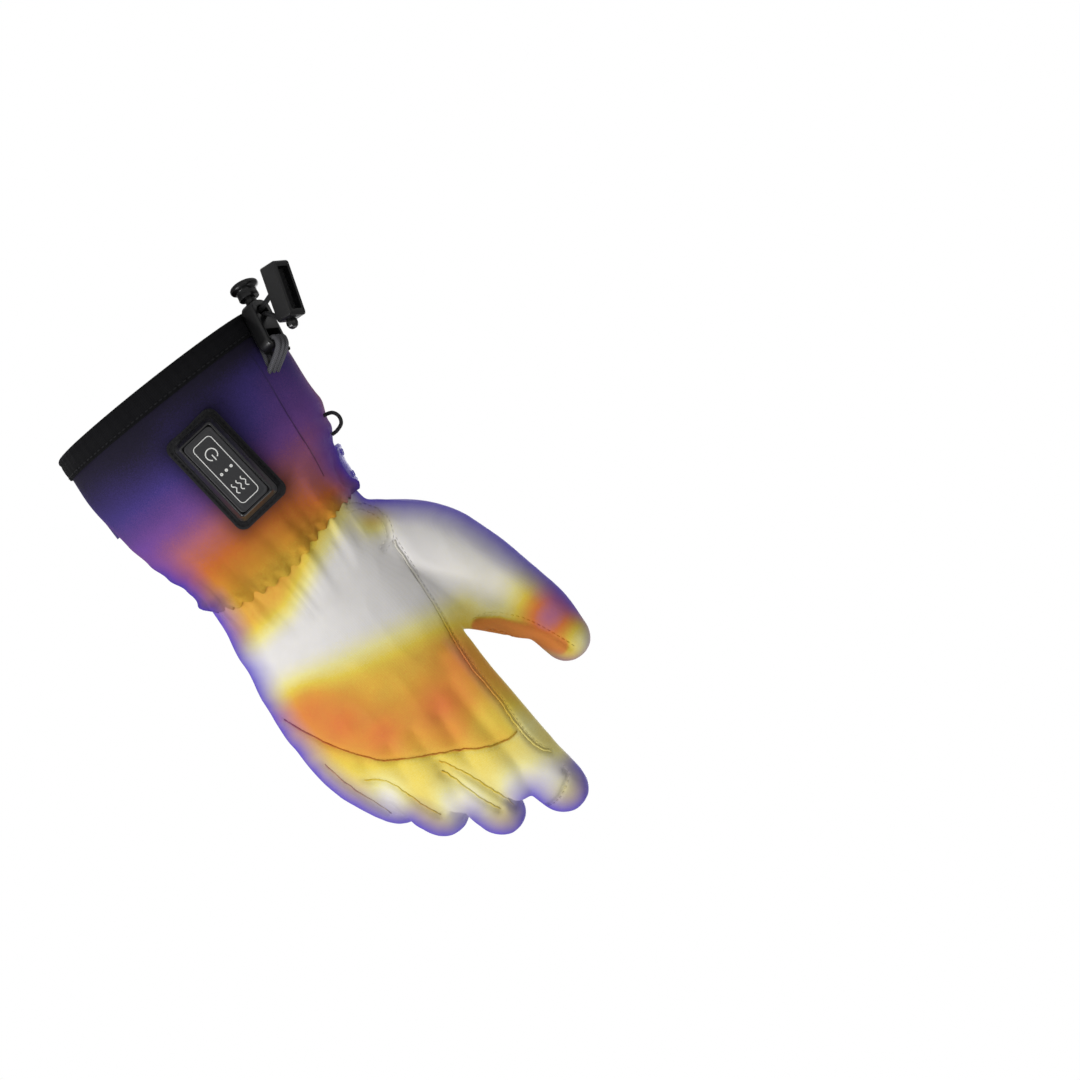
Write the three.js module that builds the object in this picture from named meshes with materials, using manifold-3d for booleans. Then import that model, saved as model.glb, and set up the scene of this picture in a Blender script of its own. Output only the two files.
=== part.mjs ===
// Heated glove for a right hand, worn shape, fingers up.
// Millimetres. +Z runs from the cuff mouth to the fingertips, -Y is the back of the hand,
// +Y the palm, -X the thumb side. The origin is the middle of the cuff mouth.
import * as THREE from 'three';
import { mergeVertices } from 'three/addons/utils/BufferGeometryUtils.js';
import Module from 'manifold-3d';

const wasm = await Module();
wasm.setup();

// Driving dimensions: cuff
const cuffLength = 114;
const hemWidth = 136;
const hemDepth = 98;
const wristWidth = 107;
const wristDepth = 75;
const cuffWall = 2.4;
const hemHeight = 13;
const hemThickness = 3.8;
const seamGap = 0.3;

// Driving dimensions: gathers at the wrist
const pleatCount = 14;
const pleatDepth = 2.8;
const pleatReach = 34;

// Driving dimensions: hand
const handLength = 138;
const handWidth = 116;
const handDepth = 50;
const handWall = 3;
const fingerLength = 96;
const fingerWidth = 27.6;
const thumbLength = 125;
const thumbWidth = 34;
const ulnarDrop = 26;

// Driving dimensions: heater control
const controlLength = 57;
const controlWidth = 28;
const controlHeight = 9;
const baseMargin = 4;
const baseThickness = 2.6;
const controlHeightOnCuff = 61;
const controlLean = 5;
const padInset = 0.8;
const clearance = 0.3;

// Driving dimensions: cord lock and its cord
const lockLength = 30.5;
const lockWidth = 15;
const lockThickness = 10;
const stemRadius = 3.4;
const plungerStroke = 3;
const headRadius = 8.5;
const webbingThickness = 1.2;
const cordDiameter = 3;
const cordSpacing = 3.6;
const lockAngle = 196;
const lockStandOff = 7.8;
const lockHeight = -2;
const lockLean = 24;
const lockTwist = 12;
const pullLength = 33;
const pullWidth = 13;
const pullThickness = 12;

// Driving dimensions: wrist strap
const strapWidth = 24;
const strapRootDrop = 14;
const strapEndDrop = 1;
const strapThickness = 2.2;
const strapStart = 197;
const strapEnd = 64;
const hookPadStart = 122;
const hookPadEnd = 54;
const hookPadHeight = 20;
const hookPadThickness = 1;

// Driving dimensions: battery pocket zip
const zipWidth = 12;
const zipThickness = 1;
const coilWidth = 4;
const coilHeight = 1.1;
const zipStart = 172;
const zipEnd = 58;
const sliderLength = 9;
const sliderWidth = 8;
const sliderHeight = 2.6;
const pullTabLength = 23;
const pullTabWidth = 7;
const pullTabThickness = 1.4;
const pinRadius = 0.8;
const tabDroop = 8;

// Driving dimensions: side tag and hanging loop
const tagAngle = 10;
const tagHeightOnCuff = 38;
const tagLength = 32;
const tagReach = 13;
const tagThickness = 1.4;
const loopAngle = 186;
const loopBelowStrap = 23;
const loopWidth = 11;
const loopReach = 8;
const loopThickness = 2.2;

const rad = THREE.MathUtils.degToRad;

function finish(name, color, roughness, metalness = 0) {
  const material = new THREE.MeshStandardMaterial({ color, roughness, metalness });
  material.name = name;
  return material;
}

const finishes = {
  shell: finish('shell', 0xd8d0c0, 0.7),
  cuff: finish('cuff', 0x5a3a78, 0.85),
  hem: finish('hem', 0x1c1c1f, 0.9),
  webbing: finish('webbing', 0x1a1a1c, 0.9),
  plastic: finish('plastic', 0x161617, 0.45),
  pad: finish('pad', 0x2c2c2e, 0.35),
  cord: finish('cord', 0x121214, 0.8),
  strap: finish('strap', 0xd9cf9a, 0.5),
  hook: finish('hook', 0xb5782e, 0.9),
  tape: finish('tape', 0x1d1b1c, 0.85),
  metal: finish('metal', 0x6c6a66, 0.35, 1),
  tag: finish('tag', 0x4a2c86, 0.8),
};

// Eased reading of a table: rows are [position, value, value, ...]
function readTable(rows, at) {
  if (at <= rows[0][0]) return rows[0].slice(1);
  for (let i = 1; i < rows.length; i += 1) {
    if (at <= rows[i][0]) {
      const t = (at - rows[i - 1][0]) / (rows[i][0] - rows[i - 1][0]);
      const ease = t * t * (3 - 2 * t);
      return rows[i].slice(1).map((v, k) => rows[i - 1][k + 1] + ease * (v - rows[i - 1][k + 1]));
    }
  }
  return rows[rows.length - 1].slice(1);
}

// A closed skin over rings of points. Open ends are capped, or the last ring joins the first.
function skin(rings, joined = false) {
  const sides = rings[0].length;
  const points = rings.flat();
  const index = [];
  const last = joined ? rings.length : rings.length - 1;
  for (let i = 0; i < last; i += 1) {
    const j = (i + 1) % rings.length;
    for (let k = 0; k < sides; k += 1) {
      const m = (k + 1) % sides;
      index.push(i * sides + k, i * sides + m, j * sides + m);
      index.push(i * sides + k, j * sides + m, j * sides + k);
    }
  }
  if (!joined) {
    const ends = [[rings[0], 0, true], [rings[rings.length - 1], (rings.length - 1) * sides, false]];
    for (const [ring, start, flip] of ends) {
      const middle = ring.reduce((sum, p) => sum.add(p), new THREE.Vector3()).divideScalar(sides);
      points.push(middle);
      for (let k = 0; k < sides; k += 1) {
        const m = (k + 1) % sides;
        if (flip) index.push(points.length - 1, start + m, start + k);
        else index.push(points.length - 1, start + k, start + m);
      }
    }
  }
  const geometry = new THREE.BufferGeometry().setFromPoints(points);
  geometry.setIndex(index);
  return facingOut(geometry);
}

// Faces of a closed geometry turned so that they point out
function facingOut(geometry) {
  const p = geometry.getAttribute('position');
  const index = geometry.getIndex().array;
  const [a, b, c] = [new THREE.Vector3(), new THREE.Vector3(), new THREE.Vector3()];
  let volume = 0;
  for (let i = 0; i < index.length; i += 3) {
    a.fromBufferAttribute(p, index[i]);
    b.fromBufferAttribute(p, index[i + 1]);
    c.fromBufferAttribute(p, index[i + 2]);
    volume += a.dot(b.cross(c));
  }
  if (volume < 0) {
    for (let i = 0; i < index.length; i += 3) {
      [index[i + 1], index[i + 2]] = [index[i + 2], index[i + 1]];
    }
  }
  return geometry;
}

function toSolid(geometry) {
  const bare = geometry.clone();
  bare.deleteAttribute('normal');
  bare.deleteAttribute('uv');
  const merged = mergeVertices(bare, 1e-4);
  return new wasm.Manifold(new wasm.Mesh({
    numProp: 3,
    vertProperties: new Float32Array(merged.getAttribute('position').array),
    triVerts: new Uint32Array(merged.getIndex().array),
  }));
}

// Slivers that a cut leaves, shorter than these, are taken out
const sliver = 0.05;
const handSliver = 0.1;

function toGeometry(cut, shortest = sliver) {
  const mesh = cut.setTolerance(shortest).simplify(shortest).getMesh();
  const geometry = new THREE.BufferGeometry();
  geometry.setAttribute('position', new THREE.BufferAttribute(new Float32Array(mesh.vertProperties), 3));
  geometry.setIndex(Array.from(mesh.triVerts));
  return geometry;
}

function joinAll(geometries) {
  return geometries.map(toSolid).reduce((sum, solid) => sum.add(solid));
}

function piece(name, geometry, material) {
  const mesh = new THREE.Mesh(geometry, material);
  mesh.name = name;
  return mesh;
}

// Flare of the cuff: share of the cuff length, flare (1 hem size, 0 wrist size), shift to +X
const cuffTable = [
  [0.0, 1.0, 0],
  [0.24, 1.16, -0.5],
  [0.54, 0.98, 0],
  [0.67, 0.74, 1.5],
  [0.78, 0.42, 3],
  [0.88, 0.17, 2.5],
  [1.0, 0.0, 1.5],
];

// Hand body above the wrist: share of the hand length, half width and half depth as shares of
// handWidth and handDepth, shift to +X and to +Y as shares of handWidth
const handTable = [
  [0.0, wristWidth / handWidth / 2, wristDepth / handDepth / 2, 0.013, 0],
  [0.11, 0.464, 0.7, 0.013, 0],
  [0.28, 0.482, 0.61, 0.028, 0.005],
  [0.46, 0.492, 0.54, 0.055, 0],
  [0.66, 0.5, 0.48, 0.066, -0.015],
  [0.8, 0.485, 0.42, 0.06, -0.03],
  [0.9, 0.45, 0.36, 0.052, -0.02],
  [0.96, 0.41, 0.29, 0.045, 0],
  [1.0, 0.34, 0.16, 0.04, 0.02],
];

// Half width, half depth and centre of the glove's outer skin at height z
function skinAt(z) {
  if (z <= cuffLength) {
    const [flare, shift] = readTable(cuffTable, z / cuffLength);
    return {
      a: (wristWidth + flare * (hemWidth - wristWidth)) / 2,
      b: (wristDepth + flare * (hemDepth - wristDepth)) / 2,
      x: shift,
      y: 0,
    };
  }
  const [a, b, x, y] = readTable(handTable, (z - cuffLength) / handLength);
  return { a: a * handWidth, b: b * handDepth, x: x * handWidth, y: y * handWidth };
}

// Depth of the wrist gathers at height z and angle phi
function pleat(z, phi) {
  const near = Math.max(0, 1 - Math.abs(z - cuffLength) / pleatReach);
  const wave = Math.cos(pleatCount * phi) + 0.35 * Math.cos((pleatCount / 2 + 1) * phi);
  return pleatDepth * 0.5 * near * (wave - 1);
}

// A point on the glove's skin, offset outwards
function skinPoint(phi, z, offset = 0, gathered = true) {
  const s = skinAt(z);
  const out = new THREE.Vector2(Math.cos(phi) / s.a, Math.sin(phi) / s.b).normalize();
  const d = offset + (gathered ? pleat(z, phi) : 0);
  return new THREE.Vector3(s.x + s.a * Math.cos(phi) + out.x * d, s.y + s.b * Math.sin(phi) + out.y * d, z);
}

function skinRing(z, offset, sides, gathered = true) {
  return Array.from({ length: sides }, (_, k) => skinPoint(2 * Math.PI * k / sides, z, offset, gathered));
}

function lerpList(from, to, count) {
  return Array.from({ length: count }, (_, k) => from + (to - from) * k / (count - 1));
}

const skinSides = 4 * pleatCount;
const cuffHeights = lerpList(hemHeight + seamGap, cuffLength, 9);

// Cuff: one wall, outer rings up and inner rings down
function cuff() {
  const outer = cuffHeights.map((z) => skinRing(z, 0, skinSides));
  const inner = lerpList(cuffLength, cuffHeights[0], 4).map((z) => skinRing(z, -cuffWall, skinSides));
  return skin([...outer, ...inner], true);
}

// The cuff's outer form and the hem's under it, grown by an offset, to cut seats with
function cuffForm(offset) {
  const grown = cuffHeights.map((z) => skinRing(z, offset, skinSides));
  const hemRing = skinRing(cuffHeights[0], offset + hemThickness - cuffWall, skinSides, false);
  const hem = [-2, hemHeight + offset].map((z) => hemRing.map((point) => point.clone().setZ(z)));
  return skin([...hem, ...grown]);
}

// Hem band: a thicker, rounded binding under the cuff's wall
function hemBand() {
  const roll = hemThickness - cuffWall;
  const profile = [
    [0, -cuffWall - 0.2],
    [0, roll * 0.4],
    [1.2, roll],
    [hemHeight - 1.2, roll],
    [hemHeight, roll * 0.4],
    [hemHeight, -cuffWall - 0.2],
  ];
  return skin(profile.map(([z, offset]) => skinRing(z, offset, skinSides, false)), true);
}

// A tube with rounded ends along points; half widths across and half depths per point
function limb(path, radii, sides, flatness, tipTurns) {
  const curve = new THREE.CatmullRomCurve3(path);
  const steps = radii.length - 1;
  const side = new THREE.Vector3(1, 0, 0);
  const rings = [];
  const addRing = (centre, tangent, radius) => {
    const across = side.clone().addScaledVector(tangent, -side.dot(tangent)).normalize();
    const up = new THREE.Vector3().crossVectors(tangent, across);
    rings.push(Array.from({ length: sides }, (_, k) => {
      const t = 2 * Math.PI * k / sides;
      return centre.clone()
        .addScaledVector(across, radius * Math.cos(t))
        .addScaledVector(up, radius * flatness * Math.sin(t));
    }));
  };
  for (let i = 0; i <= steps; i += 1) {
    addRing(curve.getPoint(i / steps), curve.getTangent(i / steps), radii[i]);
  }
  const tip = curve.getPoint(1);
  const ahead = curve.getTangent(1);
  const tipRadius = radii[steps];
  for (const turn of tipTurns) {
    const centre = tip.clone().addScaledVector(ahead, tipRadius * Math.sin(rad(turn)));
    addRing(centre, ahead, tipRadius * Math.cos(rad(turn)));
  }
  return skin(rings);
}

// Fingers: base across, back-to-palm and height as shares of handWidth, handWidth and handLength,
// length as a share of fingerLength, width as a share of fingerWidth, then the lean and the bend
// at the base and at the tip, in degrees: the curled fingers close on each other
const fingerTable = {
  index: [-0.302, -0.035, 0.74, 1.17, 1.12, 2, -2, 2, 44],
  middle: [-0.053, -0.05, 0.74, 1.17, 1.1, 9, 0, 2, 62],
  ring: [0.187, -0.045, 0.69, 1.11, 1.06, 12, -8, 4, 72],
  little: [0.427, -0.02, 0.61, 1.0, 0.98, 6, -26, 6, 72],
};

const fingerSteps = 8;

// Points along a finger that bends steadily towards the palm
function fingerPath([across, depth, height, length, , leanLow, leanHigh, bendLow, bendHigh]) {
  const point = new THREE.Vector3(
    across * handWidth,
    depth * handWidth,
    cuffLength + height * handLength,
  );
  const path = [point.clone()];
  const step = length * fingerLength / fingerSteps;
  for (let i = 0; i < fingerSteps; i += 1) {
    const share = i / (fingerSteps - 1);
    const bend = rad(bendLow + (bendHigh - bendLow) * share);
    const aside = Math.sin(rad(leanLow + (leanHigh - leanLow) * share)) * Math.cos(bend);
    const way = new THREE.Vector3(aside, Math.sin(bend), Math.cos(bend)).normalize();
    point.add(way.multiplyScalar(step));
    path.push(point.clone());
  }
  return path;
}

// Finger width along its length, as shares of the width at its base
const fingerTaper = [0.98, 1.0, 1.0, 0.985, 0.975, 0.96, 0.95, 0.93, 0.86];

const roundTip = [35, 62, 82];
const plainTip = [50, 80];

function finger(row, wall, sides, tipTurns) {
  const width = row[4] * fingerWidth / 2;
  const radii = fingerTaper.map((share) => share * width - wall);
  return limb(fingerPath(row), radii, sides, 0.96, tipTurns);
}

// Thumb: centre line as shares of thumbLength from the wrist, half width as shares of thumbWidth
const thumbTable = [
  [-0.24, 0.05, 0.12, 0.6],
  [-0.39, 0.08, 0.28, 0.72],
  [-0.52, 0.12, 0.43, 0.7],
  [-0.61, 0.165, 0.6, 0.59],
  [-0.665, 0.21, 0.77, 0.52],
  [-0.695, 0.245, 0.95, 0.48],
  [-0.71, 0.26, 1.1, 0.41],
];

function thumb(table, flatness, wall, sides, tipTurns) {
  const path = table.map(([x, y, z]) => new THREE.Vector3(x, y, z)
    .multiplyScalar(thumbLength).add(new THREE.Vector3(0, 0, cuffLength)));
  return limb(path, table.map((row) => row[3] * thumbWidth - wall), sides, flatness, tipTurns);
}

// Web between the thumb and the index finger, in the thumb table's columns
const webTable = [
  [-0.25, 0.05, 0.2, 0.6],
  [-0.38, 0.07, 0.4, 0.62],
  [-0.46, 0.1, 0.62, 0.5],
  [-0.48, 0.125, 0.78, 0.32],
];

// Body of the hand, from the wrist seam up, grown or shrunk by an offset
function handBody(offset, low, steps, sides) {
  const high = cuffLength + handLength + offset;
  const rings = steps.map((t) => skinRing(low + t * (high - low), offset, sides, offset === 0));
  for (const point of rings.flat()) {
    const along = Math.max(0, (point.z - cuffLength) / handLength);
    const across = Math.max(0, 0.2 + point.x / handWidth);
    point.z -= ulnarDrop * across * along ** 4;
  }
  return skin(rings);
}

function handShell() {
  const low = cuffLength + seamGap;
  const rows = Object.values(fingerTable);
  const outer = joinAll([
    handBody(0, low, [0, 0.08, 0.16, 0.3, 0.48, 0.66, 0.8, 0.92, 1], skinSides),
    ...rows.map((row) => finger(row, 0, 14, roundTip)),
    thumb(thumbTable, 0.94, 0, 16, roundTip),
    thumb(webTable, 0.7, 0, 12, plainTip),
  ]);
  const inner = joinAll([
    handBody(-handWall - pleatDepth, low - 2, [0, 0.2, 0.45, 0.7, 0.86, 0.95, 1], 24),
    ...rows.map((row) => finger(row, handWall, 9, plainTip)),
    thumb(thumbTable, 0.94, handWall, 10, plainTip),
    thumb(webTable, 0.7, handWall, 8, plainTip),
  ]);
  const floor = new THREE.BoxGeometry(3 * handWidth, 3 * handWidth, 2 * handWidth);
  floor.translate(0, 0, low - handWidth);
  return toGeometry(outer.subtract(inner).subtract(toSolid(floor)), handSliver);
}

// A curved plate that follows the skin between two angles; low and high are heights per angle
function skinPlate(from, to, steps, low, high, inner, outer, rows = 2) {
  const rings = lerpList(rad(from), rad(to), steps).map((phi, i) => {
    const t = i / (steps - 1);
    const heights = lerpList(low(t), high(t), rows);
    const under = heights.map((z) => skinPoint(phi, z, inner, false));
    const over = [...heights].reverse().map((z) => skinPoint(phi, z, outer, false));
    return [...under, ...over];
  });
  return skin(rings);
}

// Frame of axes on the skin: x along the tangent, y up the glove, z out of the skin
function skinFrame(angle, z, offset, turn = 0) {
  const phi = rad(angle);
  const s = skinAt(z);
  const out = new THREE.Vector3(Math.cos(phi) / s.a, Math.sin(phi) / s.b, 0).normalize();
  const up = new THREE.Vector3(0, 0, 1);
  const along = new THREE.Vector3().crossVectors(up, out);
  const frame = new THREE.Matrix4().makeBasis(along, up, out);
  frame.multiply(new THREE.Matrix4().makeRotationZ(rad(turn)));
  return frame.setPosition(skinPoint(phi, z, offset, false));
}

function roundedOutline(width, length, radius) {
  const [w, l] = [width / 2, length / 2];
  const outline = new THREE.Shape();
  outline.moveTo(-w + radius, -l);
  outline.lineTo(w - radius, -l);
  outline.absarc(w - radius, -l + radius, radius, -Math.PI / 2, 0);
  outline.lineTo(w, l - radius);
  outline.absarc(w - radius, l - radius, radius, 0, Math.PI / 2);
  outline.lineTo(-w + radius, l);
  outline.absarc(-w + radius, l - radius, radius, Math.PI / 2, Math.PI);
  outline.lineTo(-w, -l + radius);
  outline.absarc(-w + radius, -l + radius, radius, Math.PI, 1.5 * Math.PI);
  return outline;
}

function plate(width, length, radius, depth, bevel = 0) {
  return new THREE.ExtrudeGeometry(roundedOutline(width - 2 * bevel, length - 2 * bevel, radius), {
    depth: depth - 2 * bevel,
    bevelEnabled: bevel > 0,
    bevelThickness: bevel,
    bevelSize: bevel,
    bevelSegments: 1,
    curveSegments: 3,
  }).translate(0, 0, bevel);
}

const controlFrame = skinFrame(-96, controlHeightOnCuff, 0, controlLean);

function boxBase() {
  const sink = 6;
  const base = plate(controlWidth + 2 * baseMargin, controlLength + 2 * baseMargin, 5, baseThickness + sink);
  base.translate(0, 0, -sink).applyMatrix4(controlFrame);
  return toGeometry(toSolid(base).subtract(toSolid(cuffForm(clearance))));
}

// Control housing: walls lean in to a smaller top, with a pocket for the pad
const padDepth = 1;
const topInset = 2.8;

function controlBox() {
  const low = baseThickness + clearance;
  const stages = [
    [low, 0],
    [low + controlHeight * 0.25, 0],
    [low + controlHeight - 0.8, topInset - 0.6],
    [low + controlHeight, topInset],
  ];
  const rings = stages.map(([z, inset]) => roundedOutline(
    controlWidth - 2 * inset,
    controlLength - 2 * inset,
    2.5,
  ).getPoints(4).slice(0, -1).map((p) => new THREE.Vector3(p.x, p.y, z)));
  const pocket = plate(
    controlWidth - 2 * (topInset + padInset),
    controlLength - 2 * (topInset + padInset),
    2.5,
    2 * padDepth,
  ).translate(0, 0, low + controlHeight - padDepth);
  const solid = toSolid(skin(rings)).subtract(toSolid(pocket));
  return toGeometry(solid).applyMatrix4(controlFrame);
}

function controlPad() {
  const inset = topInset + padInset + clearance;
  const low = baseThickness + clearance + controlHeight - padDepth + clearance;
  const pad = plate(controlWidth - 2 * inset, controlLength - 2 * inset, 2.2, padDepth);
  return pad.translate(0, 0, low).applyMatrix4(controlFrame);
}

// Cord lock. In its frame y runs from the plunger to the anchor, z out of the cuff.
const lockFrame = skinFrame(lockAngle, lockHeight, lockStandOff, -lockLean)
  .multiply(new THREE.Matrix4().makeRotationY(rad(lockTwist)));
const cordHoleAt = 8;
const cordHoleRadius = cordSpacing / 2 + cordDiameter / 2 + 0.7;
const stemEnd = cordHoleAt + cordHoleRadius + 1.6;
const slotLow = stemEnd + plungerStroke + 3;
const slotHigh = lockLength - 3.4;

function lockCylinder(radius, from, to) {
  return new THREE.CylinderGeometry(radius, radius, to - from, 20).translate(0, (from + to) / 2, 0);
}

function crossSlot(width, from, to) {
  const slot = new THREE.BoxGeometry(width, to - from, 2 * lockThickness);
  return slot.translate(0, (from + to) / 2, 0);
}

function cordLock() {
  const body = plate(lockWidth, lockLength, 4.5, lockThickness, 1)
    .translate(0, lockLength / 2, -lockThickness / 2);
  const bore = lockCylinder(stemRadius + clearance, -1, stemEnd + plungerStroke + 0.6);
  const hole = new THREE.CylinderGeometry(cordHoleRadius, cordHoleRadius, 2 * lockThickness, 20)
    .rotateX(Math.PI / 2).translate(0, cordHoleAt, 0);
  const slot = crossSlot(lockWidth - 5, slotLow, slotHigh);
  const solid = [bore, hole, slot].map(toSolid).reduce((left, cut) => left.subtract(cut), toSolid(body));
  return toGeometry(solid).applyMatrix4(lockFrame);
}

function lockPlunger() {
  const neckLow = -plungerStroke - clearance;
  const profile = [
    [0, neckLow - 9.5],
    [headRadius * 0.8, neckLow - 9.5],
    [headRadius, neckLow - 7.8],
    [headRadius * 0.96, neckLow - 6],
    [headRadius * 0.7, neckLow - 5],
    [headRadius * 0.72, neckLow],
    [stemRadius, neckLow],
    [stemRadius, stemEnd],
    [0, stemEnd],
  ].map(([r, y]) => new THREE.Vector2(r, y));
  const slot = crossSlot(
    cordDiameter + 0.7,
    cordHoleAt - cordHoleRadius - plungerStroke,
    cordHoleAt + cordHoleRadius - 0.2,
  );
  const solid = toSolid(new THREE.LatheGeometry(profile, 24)).subtract(toSolid(slot));
  return toGeometry(solid).applyMatrix4(lockFrame);
}

// Webbing that runs through the lock's slot and back, and down to the side seam
function anchorLoop() {
  const half = lockThickness / 2 + clearance;
  const turn = slotHigh - 0.5;
  const foot = lockLength + 11;
  const seat = -lockStandOff - 6;
  const band = webbingThickness;
  const outline = new THREE.Shape();
  outline.moveTo(-half - band, lockLength + 1);
  outline.lineTo(-half - band, turn - 1);
  outline.lineTo(-half + 0.4, turn - band - 0.6);
  outline.lineTo(half - 0.4, turn - band - 0.6);
  outline.lineTo(half + band, turn - 1);
  outline.lineTo(half + band, lockLength + 1);
  outline.lineTo(seat, foot + 1.5);
  outline.lineTo(seat, foot - 3);
  const hollow = new THREE.Path();
  hollow.moveTo(-half, lockLength + 0.6);
  hollow.lineTo(-half, turn - 0.4);
  hollow.lineTo(-half + 0.6, turn - 0.6);
  hollow.lineTo(half - 0.6, turn - 0.6);
  hollow.lineTo(half, turn - 0.4);
  hollow.lineTo(half, lockLength + 0.6);
  hollow.lineTo(-half - 1, lockLength + 5);
  outline.holes.push(hollow);
  const width = lockWidth - 6;
  const loop = new THREE.ExtrudeGeometry(outline, { depth: width, bevelEnabled: false });
  loop.translate(0, 0, -width / 2).rotateY(-Math.PI / 2).applyMatrix4(lockFrame);
  return toGeometry(toSolid(loop).subtract(toSolid(cuffForm(clearance))));
}

// Centre line of the draw cord in the lock's frame: [y along the lock, z out of the cuff].
// It leaves the cuff behind the lock, passes through it, turns in the pull and comes back.
const cordRoute = [
  [6.2, -5.4], [6.2, -3], [6.2, 1], [6.1, 5], [5.6, 8.5], [4.9, 12], [4.5, 15],
  [5.0, 18.4], [7.4, 21.4], [11.0, 22.9], [15.0, 23.2], [18.8, 22.2], [21.2, 19.4],
  [20.8, 16.0], [18.3, 13.0], [14.8, 10.2], [11.9, 7.6], [10.3, 4.8], [9.8, 1], [9.8, -3], [9.8, -5.4],
];

const cordSteps = 28;

function cordCurve() {
  return new THREE.CatmullRomCurve3(cordRoute.map(([y, z]) => new THREE.Vector3(0, y, z)));
}

function cordTube(radius, steps) {
  const section = new THREE.Shape();
  section.absarc(0, 0, radius, 0, 2 * Math.PI);
  const ring = new THREE.Shape(section.getSpacedPoints(8).slice(0, -1));
  return new THREE.ExtrudeGeometry(ring, { steps, extrudePath: cordCurve(), bevelEnabled: false });
}

function drawcord() {
  return cordTube(cordDiameter / 2, cordSteps).applyMatrix4(lockFrame);
}

// Hollow end piece of the cord, with a channel that the cord turns in and a small ball end
const pullFrame = lockFrame.clone()
  .multiply(new THREE.Matrix4().makeTranslation(0, 8, 24.5))
  .multiply(new THREE.Matrix4().makeRotationX(rad(-10)));

function cordPull() {
  const body = plate(pullWidth, pullLength, 1, pullThickness, 0.8).translate(0, 0, -pullThickness / 2);
  const recess = plate(pullWidth - 5, pullLength - 7, 1, pullThickness)
    .translate(0, 0, 1.5);
  const ball = new THREE.SphereGeometry(3.6, 10, 7).translate(0, pullLength / 2 + 2.2, -1);
  const solid = toSolid(body).subtract(toSolid(recess)).add(toSolid(ball));
  const placed = toSolid(toGeometry(solid).applyMatrix4(pullFrame));
  const channel = toSolid(cordTube(cordDiameter / 2 + 0.4, cordSteps).applyMatrix4(lockFrame));
  return toGeometry(placed.subtract(channel));
}

// Wrist strap: heights of its lower and upper edge, with a round end
const strapHeights = [
  [0, cuffLength - strapRootDrop],
  [1, cuffLength - strapEndDrop],
];

function strapEdge(side) {
  return (t) => {
    const [middle] = readTable(strapHeights, t);
    const roundFrom = 0.88;
    const u = Math.max(0, (t - roundFrom) / (1 - roundFrom));
    const half = strapWidth / 2 * Math.max(0.12, Math.sqrt(1 - u * u));
    return middle + side * half;
  };
}

const hookPadOffset = 0.4;
const strapOffset = hookPadOffset + hookPadThickness + 0.4;

function strap() {
  const [low, high] = [strapEdge(-1), strapEdge(1)];
  return skinPlate(strapStart, strapEnd, 26, low, high, strapOffset, strapOffset + strapThickness, 4);
}

function strapPad() {
  const low = () => cuffLength - 0.9 * hookPadHeight;
  const high = () => cuffLength + 0.1 * hookPadHeight;
  const outside = hookPadOffset + hookPadThickness;
  return skinPlate(hookPadStart, hookPadEnd, 12, low, high, hookPadOffset, outside, 4);
}

// Zip: its middle height falls from the thumb side to its end, and its coil stands proud
const zipHeights = [
  [0, 25],
  [1, 35],
];

function zipEdge(half) {
  return (t) => readTable(zipHeights, t)[0] + half;
}

const zipSteps = 17;

function zipTape() {
  const tapeTop = clearance + zipThickness;
  const tape = skinPlate(
    zipStart,
    zipEnd,
    zipSteps,
    zipEdge(-zipWidth / 2),
    zipEdge(zipWidth / 2),
    clearance,
    tapeTop,
    3,
  );
  const coil = skinPlate(
    zipStart,
    zipEnd,
    zipSteps,
    zipEdge(-coilWidth / 2),
    zipEdge(coilWidth / 2),
    tapeTop - 0.2,
    tapeTop + coilHeight,
  );
  return toGeometry(joinAll([tape, coil]));
}

// Slider frame: x along the zip towards the thumb side, z out of the cuff
const sliderAngle = 84;
const sliderHeightOnCuff = readTable(zipHeights, (zipStart - sliderAngle) / (zipStart - zipEnd))[0];
const sliderBase = clearance + zipThickness + coilHeight + clearance;
const sliderFrame = skinFrame(sliderAngle, sliderHeightOnCuff, sliderBase, 6);
const pinHeight = sliderHeight + 1.9;

function zipSlider() {
  const body = plate(sliderLength, sliderWidth, 1.6, sliderHeight, 0.4);
  const bridge = new THREE.BoxGeometry(4.6, 2.4, 3.8).translate(0, 0, sliderHeight + 1.7);
  const window = new THREE.CylinderGeometry(pinRadius + 0.5, pinRadius + 0.5, 6, 12)
    .translate(0, 0, pinHeight);
  return toGeometry(toSolid(body).add(toSolid(bridge)).subtract(toSolid(window))).applyMatrix4(sliderFrame);
}

// Pull tab: two cheeks beside the bridge, on a pin through its window
function zipPull() {
  const cheekEnd = 1.2;
  const tab = plate(pullTabLength, pullTabWidth, 1.2, pullTabThickness, 0.3)
    .translate(-pullTabLength / 2 + cheekEnd, 0, -pullTabThickness / 2);
  const fork = new THREE.BoxGeometry(10.4, 3.4, 4).translate(1.5, 0, 0);
  const pin = new THREE.CylinderGeometry(pinRadius, pinRadius, pullTabWidth - 1, 10);
  const solid = toSolid(tab).subtract(toSolid(fork)).add(toSolid(pin));
  return toGeometry(solid).rotateY(-rad(tabDroop)).translate(0, 0, pinHeight).applyMatrix4(sliderFrame);
}

// Folded tag sewn into the side seam by the little finger side
function sideTag() {
  const frame = skinFrame(tagAngle, tagHeightOnCuff, 0.4, 0);
  const tag = plate(tagThickness, tagLength, 0.5, tagReach + 4).translate(0, 0, -4).applyMatrix4(frame);
  return toGeometry(toSolid(tag).subtract(toSolid(cuffForm(clearance))));
}

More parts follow.
